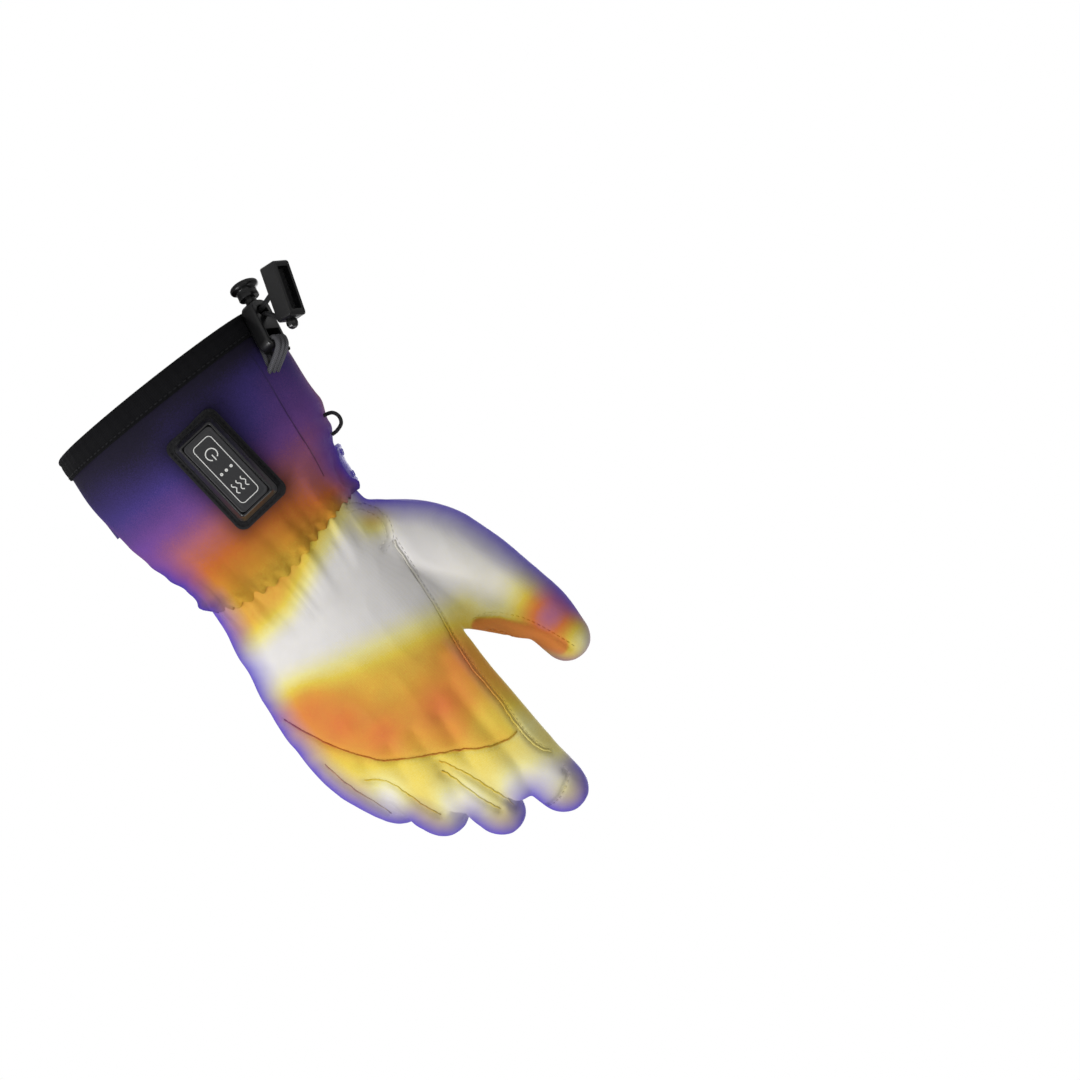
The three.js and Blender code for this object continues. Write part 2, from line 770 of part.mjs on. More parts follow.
// Small hanging loop at the thumb side, above the wrist seam
function hangLoop() {
  const frame = skinFrame(loopAngle, cuffLength - strapRootDrop - loopBelowStrap, 0, 0);
  const half = loopWidth / 2;
  const arch = new THREE.CatmullRomCurve3([
    [0, -half, -2], [0, -half, 2], [0, -half * 0.7, loopReach * 0.8], [0, 0, loopReach],
    [0, half * 0.7, loopReach * 0.8], [0, half, 2], [0, half, -2],
  ].map((p) => new THREE.Vector3(...p)));
  const section = new THREE.Shape();
  section.absarc(0, 0, loopThickness / 2, 0, 2 * Math.PI);
  const ring = new THREE.Shape(section.getSpacedPoints(8).slice(0, -1));
  const loop = new THREE.ExtrudeGeometry(ring, { steps: 16, extrudePath: arch, bevelEnabled: false });
  loop.applyMatrix4(frame);
  return toGeometry(toSolid(loop).subtract(toSolid(cuffForm(clearance))));
}

const glove = new THREE.Group();
glove.add(
  piece('hand_shell', handShell(), finishes.shell),
  piece('cuff', cuff(), finishes.cuff),
  piece('hem_band', hemBand(), finishes.hem),
  piece('box_base', boxBase(), finishes.webbing),
  piece('control_box', controlBox(), finishes.plastic),
  piece('control_pad', controlPad(), finishes.pad),
  piece('anchor_loop', anchorLoop(), finishes.webbing),
  piece('cord_lock', cordLock(), finishes.plastic),
  piece('lock_plunger', lockPlunger(), finishes.plastic),
  piece('drawcord', drawcord(), finishes.cord),
  piece('cord_pull', cordPull(), finishes.plastic),
  piece('strap', strap(), finishes.strap),
  piece('strap_pad', strapPad(), finishes.hook),
  piece('zip_tape', zipTape(), finishes.tape),
  piece('zip_slider', zipSlider(), finishes.metal),
  piece('zip_pull', zipPull(), finishes.metal),
  piece('side_tag', sideTag(), finishes.tag),
  piece('hang_loop', hangLoop(), finishes.cord),
);

export default glove;
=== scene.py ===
# %% [markdown]
# # A heated glove, dressed around its solid frame
# The glove is a padded right hand with a flared cuff. Its hard parts and its plain solids come
# from the frame, in metres, with +Z from the cuff mouth to the fingertips and -Y out of the back
# of the hand. This lesson keeps the hard parts where they are and sews the soft ones anew.

# %% Frame
import math
from contextlib import contextmanager

import bmesh
import bpy
import numpy as np
from mathutils import Matrix, Vector
from mathutils.bvhtree import BVHTree


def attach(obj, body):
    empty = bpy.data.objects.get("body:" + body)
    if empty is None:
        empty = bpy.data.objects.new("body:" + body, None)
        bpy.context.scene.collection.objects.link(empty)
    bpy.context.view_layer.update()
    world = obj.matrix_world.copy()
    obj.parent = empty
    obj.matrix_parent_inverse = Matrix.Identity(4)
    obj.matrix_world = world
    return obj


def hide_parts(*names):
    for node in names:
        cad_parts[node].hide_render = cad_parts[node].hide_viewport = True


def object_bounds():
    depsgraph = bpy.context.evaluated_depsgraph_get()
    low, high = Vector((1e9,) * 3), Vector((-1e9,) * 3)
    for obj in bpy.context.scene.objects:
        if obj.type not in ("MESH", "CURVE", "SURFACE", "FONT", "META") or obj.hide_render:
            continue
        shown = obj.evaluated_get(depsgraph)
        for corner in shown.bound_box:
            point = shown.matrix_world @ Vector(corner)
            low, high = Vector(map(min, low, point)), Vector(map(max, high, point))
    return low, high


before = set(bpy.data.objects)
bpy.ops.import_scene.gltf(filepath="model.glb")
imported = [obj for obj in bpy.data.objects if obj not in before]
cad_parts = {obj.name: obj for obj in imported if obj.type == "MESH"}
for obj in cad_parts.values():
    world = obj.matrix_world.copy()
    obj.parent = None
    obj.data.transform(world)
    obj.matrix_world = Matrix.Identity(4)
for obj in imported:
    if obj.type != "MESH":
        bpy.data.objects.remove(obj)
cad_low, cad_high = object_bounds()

MM = 0.001

# %% [markdown]
# ## Camera, light and floor
# The glove is seen square on from its back, turned six degrees to the thumb side, with its
# fingers pointing down and to the right. A parallel camera keeps every length true, so a place
# measured across and along the glove is the same place on the model. The floor lies flat under
# the cuff, and the camera looks along it.

# %% Camera
VIEW_TURN = math.radians(-6)
LOOK = Vector((-math.sin(VIEW_TURN), math.cos(VIEW_TURN), 0))
ACROSS = Vector((math.cos(VIEW_TURN), math.sin(VIEW_TURN), 0))
UP = Vector((0, 0, 1))
ROLL = math.atan2(0.78, 0.62)
FRAME_WIDTH = 0.6
FRAME_MIDDLE = (-0.1139, 0.2003)
CAMERA_AWAY = 1.5

camera_data = bpy.data.cameras.new("camera")
camera_data.type = "ORTHO"
camera_data.ortho_scale = FRAME_WIDTH
camera_data.clip_end = 20
camera = bpy.data.objects.new("camera", camera_data)
bpy.context.scene.collection.objects.link(camera)
image_right = math.cos(ROLL) * UP - math.sin(ROLL) * ACROSS
image_up = -math.sin(ROLL) * UP - math.cos(ROLL) * ACROSS
turn = Matrix((image_right, image_up, -LOOK)).transposed().to_4x4()
camera.matrix_world = Matrix.Translation(
    ACROSS * FRAME_MIDDLE[0] + UP * FRAME_MIDDLE[1] - LOOK * CAMERA_AWAY
) @ turn
bpy.context.scene.camera = camera
bpy.context.scene.view_settings.view_transform = "Standard"
print("camera looks along", tuple(round(v, 3) for v in LOOK))


# %% Light
LIGHTS = {  # place, size and power
    "key": ((0.9, -0.8, 0.5), 0.5, 10.5),
    "fill": ((-1.0, -0.9, 0.3), 1.0, 2.2),
    "palm_fill": ((-0.3, 1.3, 0.5), 1.0, 8),
    "top": ((0.1, 0.0, 1.4), 0.8, 5),
}
LIT_POINT = Vector((0, 0, 0.16))
AMBIENT = 0.26
for name, (place, size, power) in LIGHTS.items():
    data = bpy.data.lights.new(name, "AREA")
    data.size, data.energy = size, power
    light = bpy.data.objects.new(name, data)
    bpy.context.scene.collection.objects.link(light)
    light.location = place
    light.rotation_mode = "QUATERNION"
    light.rotation_quaternion = (LIT_POINT - Vector(place)).to_track_quat("-Z", "Y")

world = bpy.data.worlds.new("studio")
bpy.context.scene.world = world
world.use_nodes = True
sky = world.node_tree.nodes["Background"]
sky.inputs["Color"].default_value = (1, 1, 1, 1)
seen = world.node_tree.nodes.new("ShaderNodeLightPath")
strength = world.node_tree.nodes.new("ShaderNodeMapRange")
strength.inputs["To Min"].default_value = AMBIENT
world.node_tree.links.new(seen.outputs["Is Camera Ray"], strength.inputs["Value"])
world.node_tree.links.new(strength.outputs["Result"], sky.inputs["Strength"])
print("lights:", list(LIGHTS))

# %% Small helpers for meshes
def add_object(name, mesh):
    """A new object at the origin, unturned and unscaled."""
    mesh.name = name
    made = bpy.data.objects.new(name, mesh)
    bpy.context.scene.collection.objects.link(made)
    return made


def mesh_from(points, faces):
    mesh = bpy.data.meshes.new("mesh")
    mesh.from_pydata([tuple(p) for p in points], [], faces)
    mesh.validate()
    return mesh


def smooth(mesh):
    mesh.polygons.foreach_set("use_smooth", [True] * len(mesh.polygons))
    return mesh


def settled(obj):
    """The object with its modifiers worked into a plain mesh."""
    graph = bpy.context.evaluated_depsgraph_get()
    mesh = bpy.data.meshes.new_from_object(obj.evaluated_get(graph))
    obj.modifiers.clear()
    obj.data = mesh
    return obj


@contextmanager
def opened(mesh):
    """Opens a mesh for editing and writes it back."""
    work = bmesh.new()
    work.from_mesh(mesh)
    yield work
    work.to_mesh(mesh)
    work.free()


def face_out(mesh):
    """Turns every face of a closed mesh outwards."""
    with opened(mesh) as work:
        bmesh.ops.recalc_face_normals(work, faces=work.faces)
    return mesh


def welded(mesh):
    """A ring of cloth whose last row is joined to its first."""
    with opened(mesh) as work:
        bmesh.ops.remove_doubles(work, verts=work.verts, dist=1e-6)
    return face_out(mesh)


def joined(meshes):
    """Several closed meshes as one, which keeps their UV maps."""
    work = bmesh.new()
    for mesh in meshes:
        work.from_mesh(face_out(mesh))
        bpy.data.meshes.remove(mesh)
    mesh = bpy.data.meshes.new("joined")
    work.to_mesh(mesh)
    work.free()
    return smooth(mesh)


def read_values(items, key, kind=np.float32):
    """One value of every item of a mesh, such as each vertex's place."""
    wide = 3 if key in ("co", "vector") else 2 if key == "vertices" else 1
    values = np.empty(len(items) * wide, kind)
    items.foreach_get(key, values)
    return values.reshape(-1, wide) if wide > 1 else values


def points_of(mesh):
    return read_values(mesh.vertices, "co").astype(float)


def normals_of(mesh):
    return read_values(mesh.vertex_normals, "vector").astype(float)


def edges_of(mesh):
    return read_values(mesh.edges, "vertices", np.int32)


def set_points(mesh, points):
    mesh.vertices.foreach_set("co", points.astype(np.float32).ravel())
    mesh.update()


def relaxed(points, pairs, rounds, share=0.5):
    """Points drawn towards the mean of their neighbours."""
    count = np.bincount(pairs.ravel(), minlength=len(points))[:, None]
    for _ in range(rounds):
        total = np.zeros_like(points)
        for axis in range(points.shape[1]):
            for here, there in ((0, 1), (1, 0)):
                values = points[pairs[:, there], axis]
                total[:, axis] += np.bincount(pairs[:, here], values, len(points))
        points = points + share * (total / np.maximum(count, 1) - points)
    return points


def circle(count):
    """Even angles round a circle."""
    return [2 * math.pi * k / count for k in range(count)]


def spaced(low, high, count):
    return [low + (high - low) * i / (count - 1) for i in range(count)]


def grid_mesh(rings, ends=True, uv_size=(1, 1)):
    """A skin over equal rings of points, whose first and last ring may be capped with a fan.
    Its UV map runs round the rings and from ring to ring."""
    count, sides = len(rings), len(rings[0])
    points = [p for ring in rings for p in ring]
    faces, places = [], []
    for i in range(count - 1):
        for k in range(sides):
            m = (k + 1) % sides
            faces.append((i * sides + k, i * sides + m, (i + 1) * sides + m, (i + 1) * sides + k))
            places.append([(k, i), (k + 1, i), (k + 1, i + 1), (k, i + 1)])
    for start, flip in ((0, True), ((count - 1) * sides, False)) if ends else ():
        middle = len(points)
        ring = points[start:start + sides]
        points.append(tuple(sum(p[a] for p in ring) / sides for a in range(3)))
        for k in range(sides):
            m = (k + 1) % sides
            pair = (start + m, start + k) if flip else (start + k, start + m)
            faces.append((middle, *pair))
            places.append([(k, 0), (k, 0), (k + 1, 0)])
    mesh = smooth(mesh_from(points, faces))
    layer = mesh.uv_layers.new(name="UVMap")
    flat = [(u / sides * uv_size[0], v / count * uv_size[1]) for face in places for u, v in face]
    layer.data.foreach_set("uv", np.array(flat, np.float32).ravel())
    return mesh


def smooth_line(points, per=8):
    """A dense smooth line through points."""
    p = [2 * points[0] - points[1], *points, 2 * points[-1] - points[-2]]
    line = []
    for i in range(1, len(p) - 2):
        for k in range(per):
            t = k / per
            line.append(0.5 * (
                2 * p[i] + (p[i + 1] - p[i - 1]) * t
                + (2 * p[i - 1] - 5 * p[i] + 4 * p[i + 1] - p[i + 2]) * t ** 2
                + (3 * p[i] - p[i - 1] - 3 * p[i + 1] + p[i + 2]) * t ** 3
            ))
    return [*line, points[-1].copy()]


def line_length(line):
    return sum((b - a).length for a, b in zip(line, line[1:]))


def way_at(line, i):
    """The direction of a line at one of its points."""
    return (line[min(i + 1, len(line) - 1)] - line[max(i - 1, 0)]).normalized()


def tube_mesh(line, radius, sides=16, end_share=1.0):
    """A round tube along a line, with a UV map in millimetres. Its end rings may be smaller."""
    rings = []
    side = way_at(line, 0).orthogonal().normalized()
    for i, point in enumerate(line):
        way = way_at(line, i)
        side = (side - way * side.dot(way)).normalized()
        up = way.cross(side)
        size = radius * (end_share if i in (0, len(line) - 1) else 1)
        rings.append([
            point + size * (math.cos(a) * side + math.sin(a) * up) for a in circle(sides)
        ])
    return grid_mesh(rings, uv_size=(2 * math.pi * radius / MM, line_length(line) / MM))


def closed_object(name, rings, uv_size):
    return add_object(name, face_out(grid_mesh(rings, uv_size=uv_size)))


print("helpers ready")

# %% [markdown]
# ## The form under the cloth
# The solids follow two short tables: how far the cuff flares above the hem, and how wide and
# deep the hand is above the wrist. The soft pieces read the same tables, so they lie exactly
# on their solids. All the tables are in millimetres or in shares of a named size.

# %% Tables of the form
CUFF = 114
HEM_WIDTH, HEM_DEPTH = 136, 98
WRIST_WIDTH, WRIST_DEPTH = 107, 75
CUFF_WALL = 2.4
HEM_HEIGHT, HEM_THICKNESS = 13, 3.8
HAND_LENGTH, HAND_WIDTH, HAND_DEPTH = 138, 116, 50
HAND_WALL = 3
FINGER_LENGTH, FINGER_WIDTH = 96, 27.6
THUMB_LENGTH, THUMB_WIDTH = 125, 34
ULNAR_DROP = 26
PLEATS, PLEAT_DEPTH, PLEAT_REACH = 14, 2.8, 34

# share of the cuff's height, flare, shift to +X
CUFF_TABLE = [
    [0.0, 1.0, 0], [0.24, 1.16, -0.5], [0.54, 0.98, 0], [0.67, 0.74, 1.5],
    [0.78, 0.42, 3], [0.88, 0.17, 2.5], [1.0, 0.0, 1.5],
]
# share of the hand's length, half width, half depth, shift to +X, shift to +Y
HAND_TABLE = [
    [0.0, WRIST_WIDTH / HAND_WIDTH / 2, WRIST_DEPTH / HAND_DEPTH / 2, 0.013, 0],
    [0.11, 0.464, 0.7, 0.013, 0], [0.28, 0.482, 0.61, 0.028, 0.005],
    [0.46, 0.492, 0.54, 0.055, 0], [0.66, 0.5, 0.48, 0.066, -0.015],
    [0.8, 0.485, 0.42, 0.06, -0.03], [0.9, 0.45, 0.36, 0.052, -0.02],
    [0.96, 0.41, 0.29, 0.045, 0], [1.0, 0.34, 0.16, 0.04, 0.02],
]


def read_table(rows, at):
    """Eased reading of a table whose rows are position, value, value, ..."""
    if at <= rows[0][0]:
        return rows[0][1:]
    for low, high in zip(rows, rows[1:]):
        if at <= high[0]:
            t = (at - low[0]) / (high[0] - low[0])
            ease = t * t * (3 - 2 * t)
            return [a + ease * (b - a) for a, b in zip(low[1:], high[1:])]
    return rows[-1][1:]


def skin_at(z):
    """Half width, half depth and centre of the outer skin at a height."""
    if z <= CUFF:
        flare, shift = read_table(CUFF_TABLE, z / CUFF)
        return (
            (WRIST_WIDTH + flare * (HEM_WIDTH - WRIST_WIDTH)) / 2,
            (WRIST_DEPTH + flare * (HEM_DEPTH - WRIST_DEPTH)) / 2,
            shift,
            0,
        )
    a, b, x, y = read_table(HAND_TABLE, (z - CUFF) / HAND_LENGTH)
    return a * HAND_WIDTH, b * HAND_DEPTH, x * HAND_WIDTH, y * HAND_WIDTH


def skin_point(phi, z, offset=0.0):
    """A point on the skin at an angle and a height, some way out of it."""
    a, b, x, y = skin_at(z)
    out = Vector((math.cos(phi) / a, math.sin(phi) / b)).normalized()
    return Vector((
        x + a * math.cos(phi) + out.x * offset,
        y + b * math.sin(phi) + out.y * offset,
        z,
    )) * MM


def skin_frame(angle, z, offset, turned=0.0):
    """Axes on the skin: x along it, y up the glove, z out of it."""
    phi = math.radians(angle)
    a, b, _, _ = skin_at(z)
    out = Vector((math.cos(phi) / a, math.sin(phi) / b, 0)).normalized()
    along = UP.cross(out)
    place = Matrix((along, UP, out)).transposed().to_4x4()
    return Matrix.Translation(skin_point(phi, z, offset)) @ place @ Matrix.Rotation(
        math.radians(turned), 4, "Z"
    )


def placed(place, *spot):
    """A point given in millimetres in the axes of a place on the glove."""
    return place @ (Vector(spot) * MM)


def route_line(place, route, x=0, per=6):
    """A smooth line through points given along and out of a place."""
    return smooth_line([placed(place, x, y, z) for y, z in route], per)


print("half sizes at the wrist:", [round(v, 1) for v in skin_at(CUFF)])

# %% [markdown]
# ## The drawcord
# A round elastic cord, three millimetres thick, comes out of the hem, runs through the cord
# lock and through its plunger, turns once in its hollow end piece and comes back. It is the one
# loose cord of the glove. Its points are the same as the solid's, written here in the lock's
# own axes: along the lock, and out of the cuff.

# %% Cord
LOCK = skin_frame(196, -2, 7.8, -24) @ Matrix.Rotation(math.radians(12), 4, "Y")
CORD_DIAMETER = 3
CORD_ROUTE = [
    (6.2, -5.4), (6.2, -3), (6.2, 1), (6.1, 5), (5.6, 8.5), (4.9, 12), (4.5, 15),
    (5.0, 18.4), (7.4, 21.4), (11.0, 22.9), (15.0, 23.2), (18.8, 22.2), (21.2, 19.4),
    (20.8, 16.0), (18.3, 13.0), (14.8, 10.2), (11.9, 7.6), (10.3, 4.8), (9.8, 1), (9.8, -3),
    (9.8, -5.4),
]
cord_line = route_line(LOCK, CORD_ROUTE)
drawcord = add_object("drawcord_braid", tube_mesh(cord_line, CORD_DIAMETER / 2 * MM))
print("cord length, mm:", round(line_length(cord_line) / MM, 1))

# %% [markdown]
# ## The hand
# A padded glove is a soft shape with no edges: fingers, thumb and palm run into each other. The
# body is a stack of ovals, and each finger is a tube that bends steadily towards the palm. A
# voxel remesh melts them into one skin, and a little relaxing rounds the places where they
# meet. Fingers stay thin tubes here, so that the creases between them can be pressed in after.

# %% Fingers and thumb
# across, back to palm, height, length, width, lean low and high, bend low and high
FINGERS = {
    "index": (-0.302, -0.035, 0.74, 1.17, 1.16, 2, -2, 2, 44),
    "middle": (-0.053, -0.05, 0.74, 1.17, 1.14, 9, 0, 2, 62),
    "ring": (0.187, -0.045, 0.69, 1.11, 1.12, 12, -8, 4, 72),
    "little": (0.427, -0.02, 0.61, 1.0, 1.04, 6, -26, 6, 72),
}
FINGER_TAPER = [0.98, 1.0, 1.0, 0.985, 0.975, 0.96, 0.95, 0.93, 0.86]
# centre line in thumb lengths, half width in thumb widths
THUMB = [
    (-0.24, 0.05, 0.12, 0.6), (-0.39, 0.08, 0.28, 0.72), (-0.52, 0.12, 0.43, 0.7),
    (-0.61, 0.165, 0.6, 0.59), (-0.665, 0.21, 0.77, 0.52), (-0.695, 0.245, 0.95, 0.48),
    (-0.71, 0.26, 1.1, 0.41),
]
WEB = [
    (-0.25, 0.05, 0.2, 0.6), (-0.38, 0.07, 0.4, 0.62), (-0.46, 0.1, 0.62, 0.5),
    (-0.48, 0.125, 0.78, 0.32),
]
# padding over the back, between fingers that lie side by side: x, y, z and radius in mm
PADDING = [
    [(-20, -6, 222, 15), (-19, -4, 244, 14), (-18.5, 0, 264, 13), (-18, 8, 284, 12),
     (-17.5, 20, 299, 9)],
    [(9, -7, 218, 14.5), (12, -5, 238, 13.5), (14, -1, 256, 12.5), (14.5, 8, 272, 11.5),
     (13.5, 20, 284, 8.5)],
    [(37, -5, 204, 13), (40, -3, 222, 12.5), (41.5, 2, 238, 11.5), (40.5, 12, 251, 10.5),
     (37.5, 23, 259, 8)],
    [(-52, 11, 202, 10), (-60, 14, 211, 10), (-67, 18, 221, 9.5), (-75, 23, 233, 8)],
]


def finger_path(row):
    """Points along a finger that bends steadily, in millimetres."""
    across, depth, height, length, _, lean_low, lean_high, low, high = row
    steps = len(FINGER_TAPER) - 1
    point = Vector((across * HAND_WIDTH, depth * HAND_WIDTH, CUFF + height * HAND_LENGTH))
    path = [point.copy()]
    for i in range(steps):
        share = i / (steps - 1)
        bend = math.radians(low + (high - low) * share)
        aside = math.sin(math.radians(lean_low + (lean_high - lean_low) * share)) * math.cos(bend)
        way = Vector((aside, math.sin(bend), math.cos(bend))).normalized()
        point = point + way * (length * FINGER_LENGTH / steps)
        path.append(point.copy())
    return path


def limb_rows(path, radii, flatness, per=5, sides=28):
    """Rings of a tube with a round end, in metres."""
    line = smooth_line(path, per)
    sizes = [p.x for p in smooth_line([Vector((r, 0, 0)) for r in radii], per)]
    rings = [(point, way_at(line, i), size) for i, (point, size) in enumerate(zip(line, sizes))]
    tip, way, size = rings[-1]
    for a in map(math.radians, (18, 35, 50, 64, 76, 85)):
        rings.append((tip + way * size * math.sin(a), way, size * math.cos(a)))
    rows = []
    for centre, way, size in rings:
        side = (Vector((1, 0, 0)) - way * way.x).normalized()
        up = way.cross(side)
        rows.append([
            (centre + size * (math.cos(a) * side + flatness * math.sin(a) * up)) * MM
            for a in circle(sides)
        ])
    return rows


def finger_rows(row, wall=0.0, sides=28):
    width = row[4] * FINGER_WIDTH / 2
    return limb_rows(finger_path(row), [s * width - wall for s in FINGER_TAPER], 0.96, 4, sides)


def thumb_rows(table, flatness, wall=0.0, sides=28):
    path = [Vector(row[:3]) * THUMB_LENGTH + Vector((0, 0, CUFF)) for row in table]
    return limb_rows(path, [row[3] * THUMB_WIDTH - wall for row in table], flatness, 5, sides)


def padding_rows(table):
    return limb_rows([Vector(row[:3]) for row in table], [row[3] for row in table], 1.0, 4, 20)


def body_rows(offset=0.0, low=CUFF - 6, count=40, sides=96):
    """Ovals of the palm, whose little-finger side is lower at the top."""
    high = CUFF + HAND_LENGTH + min(offset, 0)
    rows = []
    for z in spaced(low, high, count):
        row = []
        for phi in circle(sides):
            p = skin_point(phi, z, offset)
            along = max(0.0, (p.z / MM - CUFF) / HAND_LENGTH)
            slope = max(0.0, 0.2 + p.x / MM / HAND_WIDTH)
            row.append((p.x, p.y, p.z - ULNAR_DROP * MM * slope * along ** 4))
        rows.append(row)
    return rows


def melted(name, skins, voxel):
    """Overlapping closed skins melted into one closed skin."""
    obj = add_object(name, joined([grid_mesh(rows) for rows in skins]))
    remesh = obj.modifiers.new("melt", "REMESH")
    remesh.mode = "VOXEL"
    remesh.voxel_size = voxel
    remesh.use_smooth_shade = True
    return settled(obj)


THUMB_FLATNESS, WEB_FLATNESS = 0.94, 0.7
HAND_VOXEL, LINING_VOXEL = 1.4 * MM, 4.5 * MM
HAND_ROUNDS, WEB_ROUNDS = 9, 110
WEB_END, WEB_REACH = np.array([-62, 16, 214]) * MM, 22 * MM
hand = melted("hand_cloth", [
    body_rows(),
    *[finger_rows(row) for row in FINGERS.values()],
    thumb_rows(THUMB, THUMB_FLATNESS),
    thumb_rows(WEB, WEB_FLATNESS),
    *[padding_rows(table) for table in PADDING],
], HAND_VOXEL)
pairs = edges_of(hand.data)
points = relaxed(points_of(hand.data), pairs, HAND_ROUNDS)
by_web = np.exp(-((points - WEB_END) ** 2).sum(1) / WEB_REACH ** 2)[:, None]
for _ in range(WEB_ROUNDS):
    points = points + by_web * (relaxed(points, pairs, 1) - points)
set_points(hand.data, points)
print("hand skin:", len(hand.data.polygons), "faces")

# %% [markdown]
# ## Places on the glove
# Seams, creases and patches of the back are given as two lengths: across the glove as the
# camera sees it, and along it. A ray from the camera's side finds the point of the skin there.
# Places of the palm are given across and along the glove itself, and rays from the palm side
# find them. One helper turns a list of such places into a smooth line that lies on the cloth.


# %% Rays on the skin
def skin_tree(obj):
    mesh = obj.data
    return BVHTree.FromPolygons(
        [v.co for v in mesh.vertices], [tuple(p.vertices) for p in mesh.polygons]
    )


def on_back(tree, across, along):
    start = ACROSS * across * MM + UP * along * MM - LOOK * 0.4
    return tree.ray_cast(start, LOOK)[:2]


def on_palm(tree, across, along):
    return tree.ray_cast(Vector((across * MM, 0.4, along * MM)), Vector((0, -1, 0)))[:2]


def seam_line(tree, places, find, per=6, drop=7 * MM):
    """A line on the skin through places given across and along the glove. It ends where the
    skin falls away, so no line crosses open air."""
    line = []
    for spot in smooth_line([Vector((x, 0, z)) for x, z in places], per):
        point, normal = find(tree, spot.x, spot.z)
        if point is None or (line and abs((point - line[-1][0]).y) > drop):
            if line:
                break
            continue
        line.append((point, normal))
    return line


def dense(line, step=1.2 * MM):
    """Points of a line at even steps."""
    points = [line[0]]
    for a, b in zip(line, line[1:]):
        count = max(1, int((b - a).length / step))
        points += [a + (b - a) * (k + 1) / count for k in range(count)]
    return points


def nearness(points, line, width):
    """One at points on a line, falling to nothing over about twice the width."""
    spots = np.array([tuple(p) for p in dense(line)])
    low, high = spots.min(0) - 3 * width, spots.max(0) + 3 * width
    found = np.where(((points > low) & (points < high)).all(1))[0]
    fade, gap, batch = np.zeros(len(points)), np.full(len(found), 1e9), 64
    for i in range(0, len(spots), batch):
        away = ((points[found][:, None, :] - spots[i:i + batch][None]) ** 2).sum(2)
        gap = np.minimum(gap, away.min(1))
    fade[found] = np.exp(-gap / (width * width))
    return fade


def pressed(points, normals, line, depth, width):
    """Pushes points into the skin along a line: depth at the line, fading over width."""
    return points - normals * (depth * nearness(points, line, width))[:, None]


def spots_of(line):
    """The places of a line of (place, out) pairs."""
    return [place for place, _ in line]


hand_tree = skin_tree(hand)
print("ray at the middle of the back:", on_back(hand_tree, 0, 180)[0])

# %% Seams, creases and piping of the hand
BACK_SEAMS = {
    "knuckles": [
        (60, 190), (58.7, 193.4), (48.9, 216.9), (35.9, 236.4), (27, 244.9), (8.7, 255.9),
        (-6.1, 264.2), (-16.4, 270.9), (-30.9, 276), (-38.4, 275.6),
    ],
    "piping": [
        (-50, 150), (-49.3, 156), (-46.4, 189.3), (-42.3, 212.4), (-40.7, 229.7),
        (-40.9, 249.1), (-41.1, 257.8), (-39.9, 275.4), (-41.6, 289.5), (-46, 296.3),
    ],
    "index_cap": [(-45, 308), (-43.8, 312.6), (-31.4, 318.4), (-19.2, 315.8)],
    "thumb_strip": [(-58, 213), (-66, 216), (-73, 223), (-79, 231), (-85, 244), (-90, 258)],
    "thumb_edge": [(-60, 222), (-66, 230), (-73, 242), (-80, 252), (-87, 261)],
    "patch": [(-42, 120), (-50, 123.2), (-54, 135), (-50, 146.7), (-43, 150)],
}
BACK_CREASES = {
    "index_middle": [(6.7, 262.5), (3, 270), (-3.8, 285), (-9, 300), (-15, 316)],
    "index_middle_low": [(8, 268), (7.5, 270.5), (1.8, 292), (-4, 305)],
    "middle_ring": [(45.6, 245), (37.3, 252.5), (31.6, 267), (27.8, 280), (12.8, 303)],
    "ring_little": [(58, 224), (56, 236), (50, 258), (42, 280)],
}
PALM_SEAMS = {
    "finger_roots": [(-38, 201), (-23, 201.5), (-2, 202.8), (27, 204), (52, 202)],
    "thumb_base": [
        (-38, 122), (-33.6, 128), (-29.3, 137), (-26.4, 151), (-26.2, 168), (-30, 180), (-40, 185),
    ],
    "thumb_middle": [
        (-31, 138), (-49, 152), (-64, 170), (-76, 190), (-83, 211), (-87, 233), (-89, 250),
    ],
    "thumb_outer": [(-50, 135), (-67, 152), (-80, 172), (-89, 193), (-95, 215), (-97, 235)],
    "heel": [(-29, 137), (-16.6, 138.2), (7.3, 139.4), (32.6, 136.4), (52, 129)],
    "side": [(46, 124), (52, 140), (56, 160), (58, 185), (57, 212), (54, 238)],
}
back_lines, crease_lines, palm_lines = (
    {name: seam_line(hand_tree, places, find) for name, places in table.items()}
    for table, find in (
        (BACK_SEAMS, on_back), (BACK_CREASES, on_back), (PALM_SEAMS, on_palm),
    )
)
seam_lines = {**back_lines, **palm_lines}
print("lines on the back:", {n: len(line) for n, line in back_lines.items()})


# %% Soft noise that gives the same cloth each time
def value_noise(points, size, seed):
    """Smooth noise from -1 to 1 whose bumps are about one size across."""
    grid = points / size
    base = np.floor(grid).astype(np.int64)
    part = grid - base
    ease = part * part * (3 - 2 * part)
    total = np.zeros(len(points))
    for corner in range(8):
        step = np.array([corner & 1, corner >> 1 & 1, corner >> 2 & 1])
        cell = base + step
        mixed = (
            cell[:, 0] * 73856093 ^ cell[:, 1] * 19349663 ^ cell[:, 2] * 83492791 ^ seed * 2654435
        )
        mixed = (mixed ^ (mixed >> 13)) * 1274126177 & 0x7FFFFFFF
        value = mixed / 0x7FFFFFFF * 2 - 1
        weight = np.where(step, ease, 1 - ease).prod(1)
        total += value * weight
    return total


def folds(points, size, seed, stretch=(1, 1, 1)):
    """Noise with a sharper crest, as cloth that buckles has."""
    return 1 - 2 * np.abs(value_noise(points * np.array(stretch), size, seed))


# %% Wrist gathers
def eased(value, low, high):
    """Zero below low and one above high, with a smooth rise between."""
    t = np.clip((value - low) / (high - low), 0, 1)
    return t * t * (3 - 2 * t)


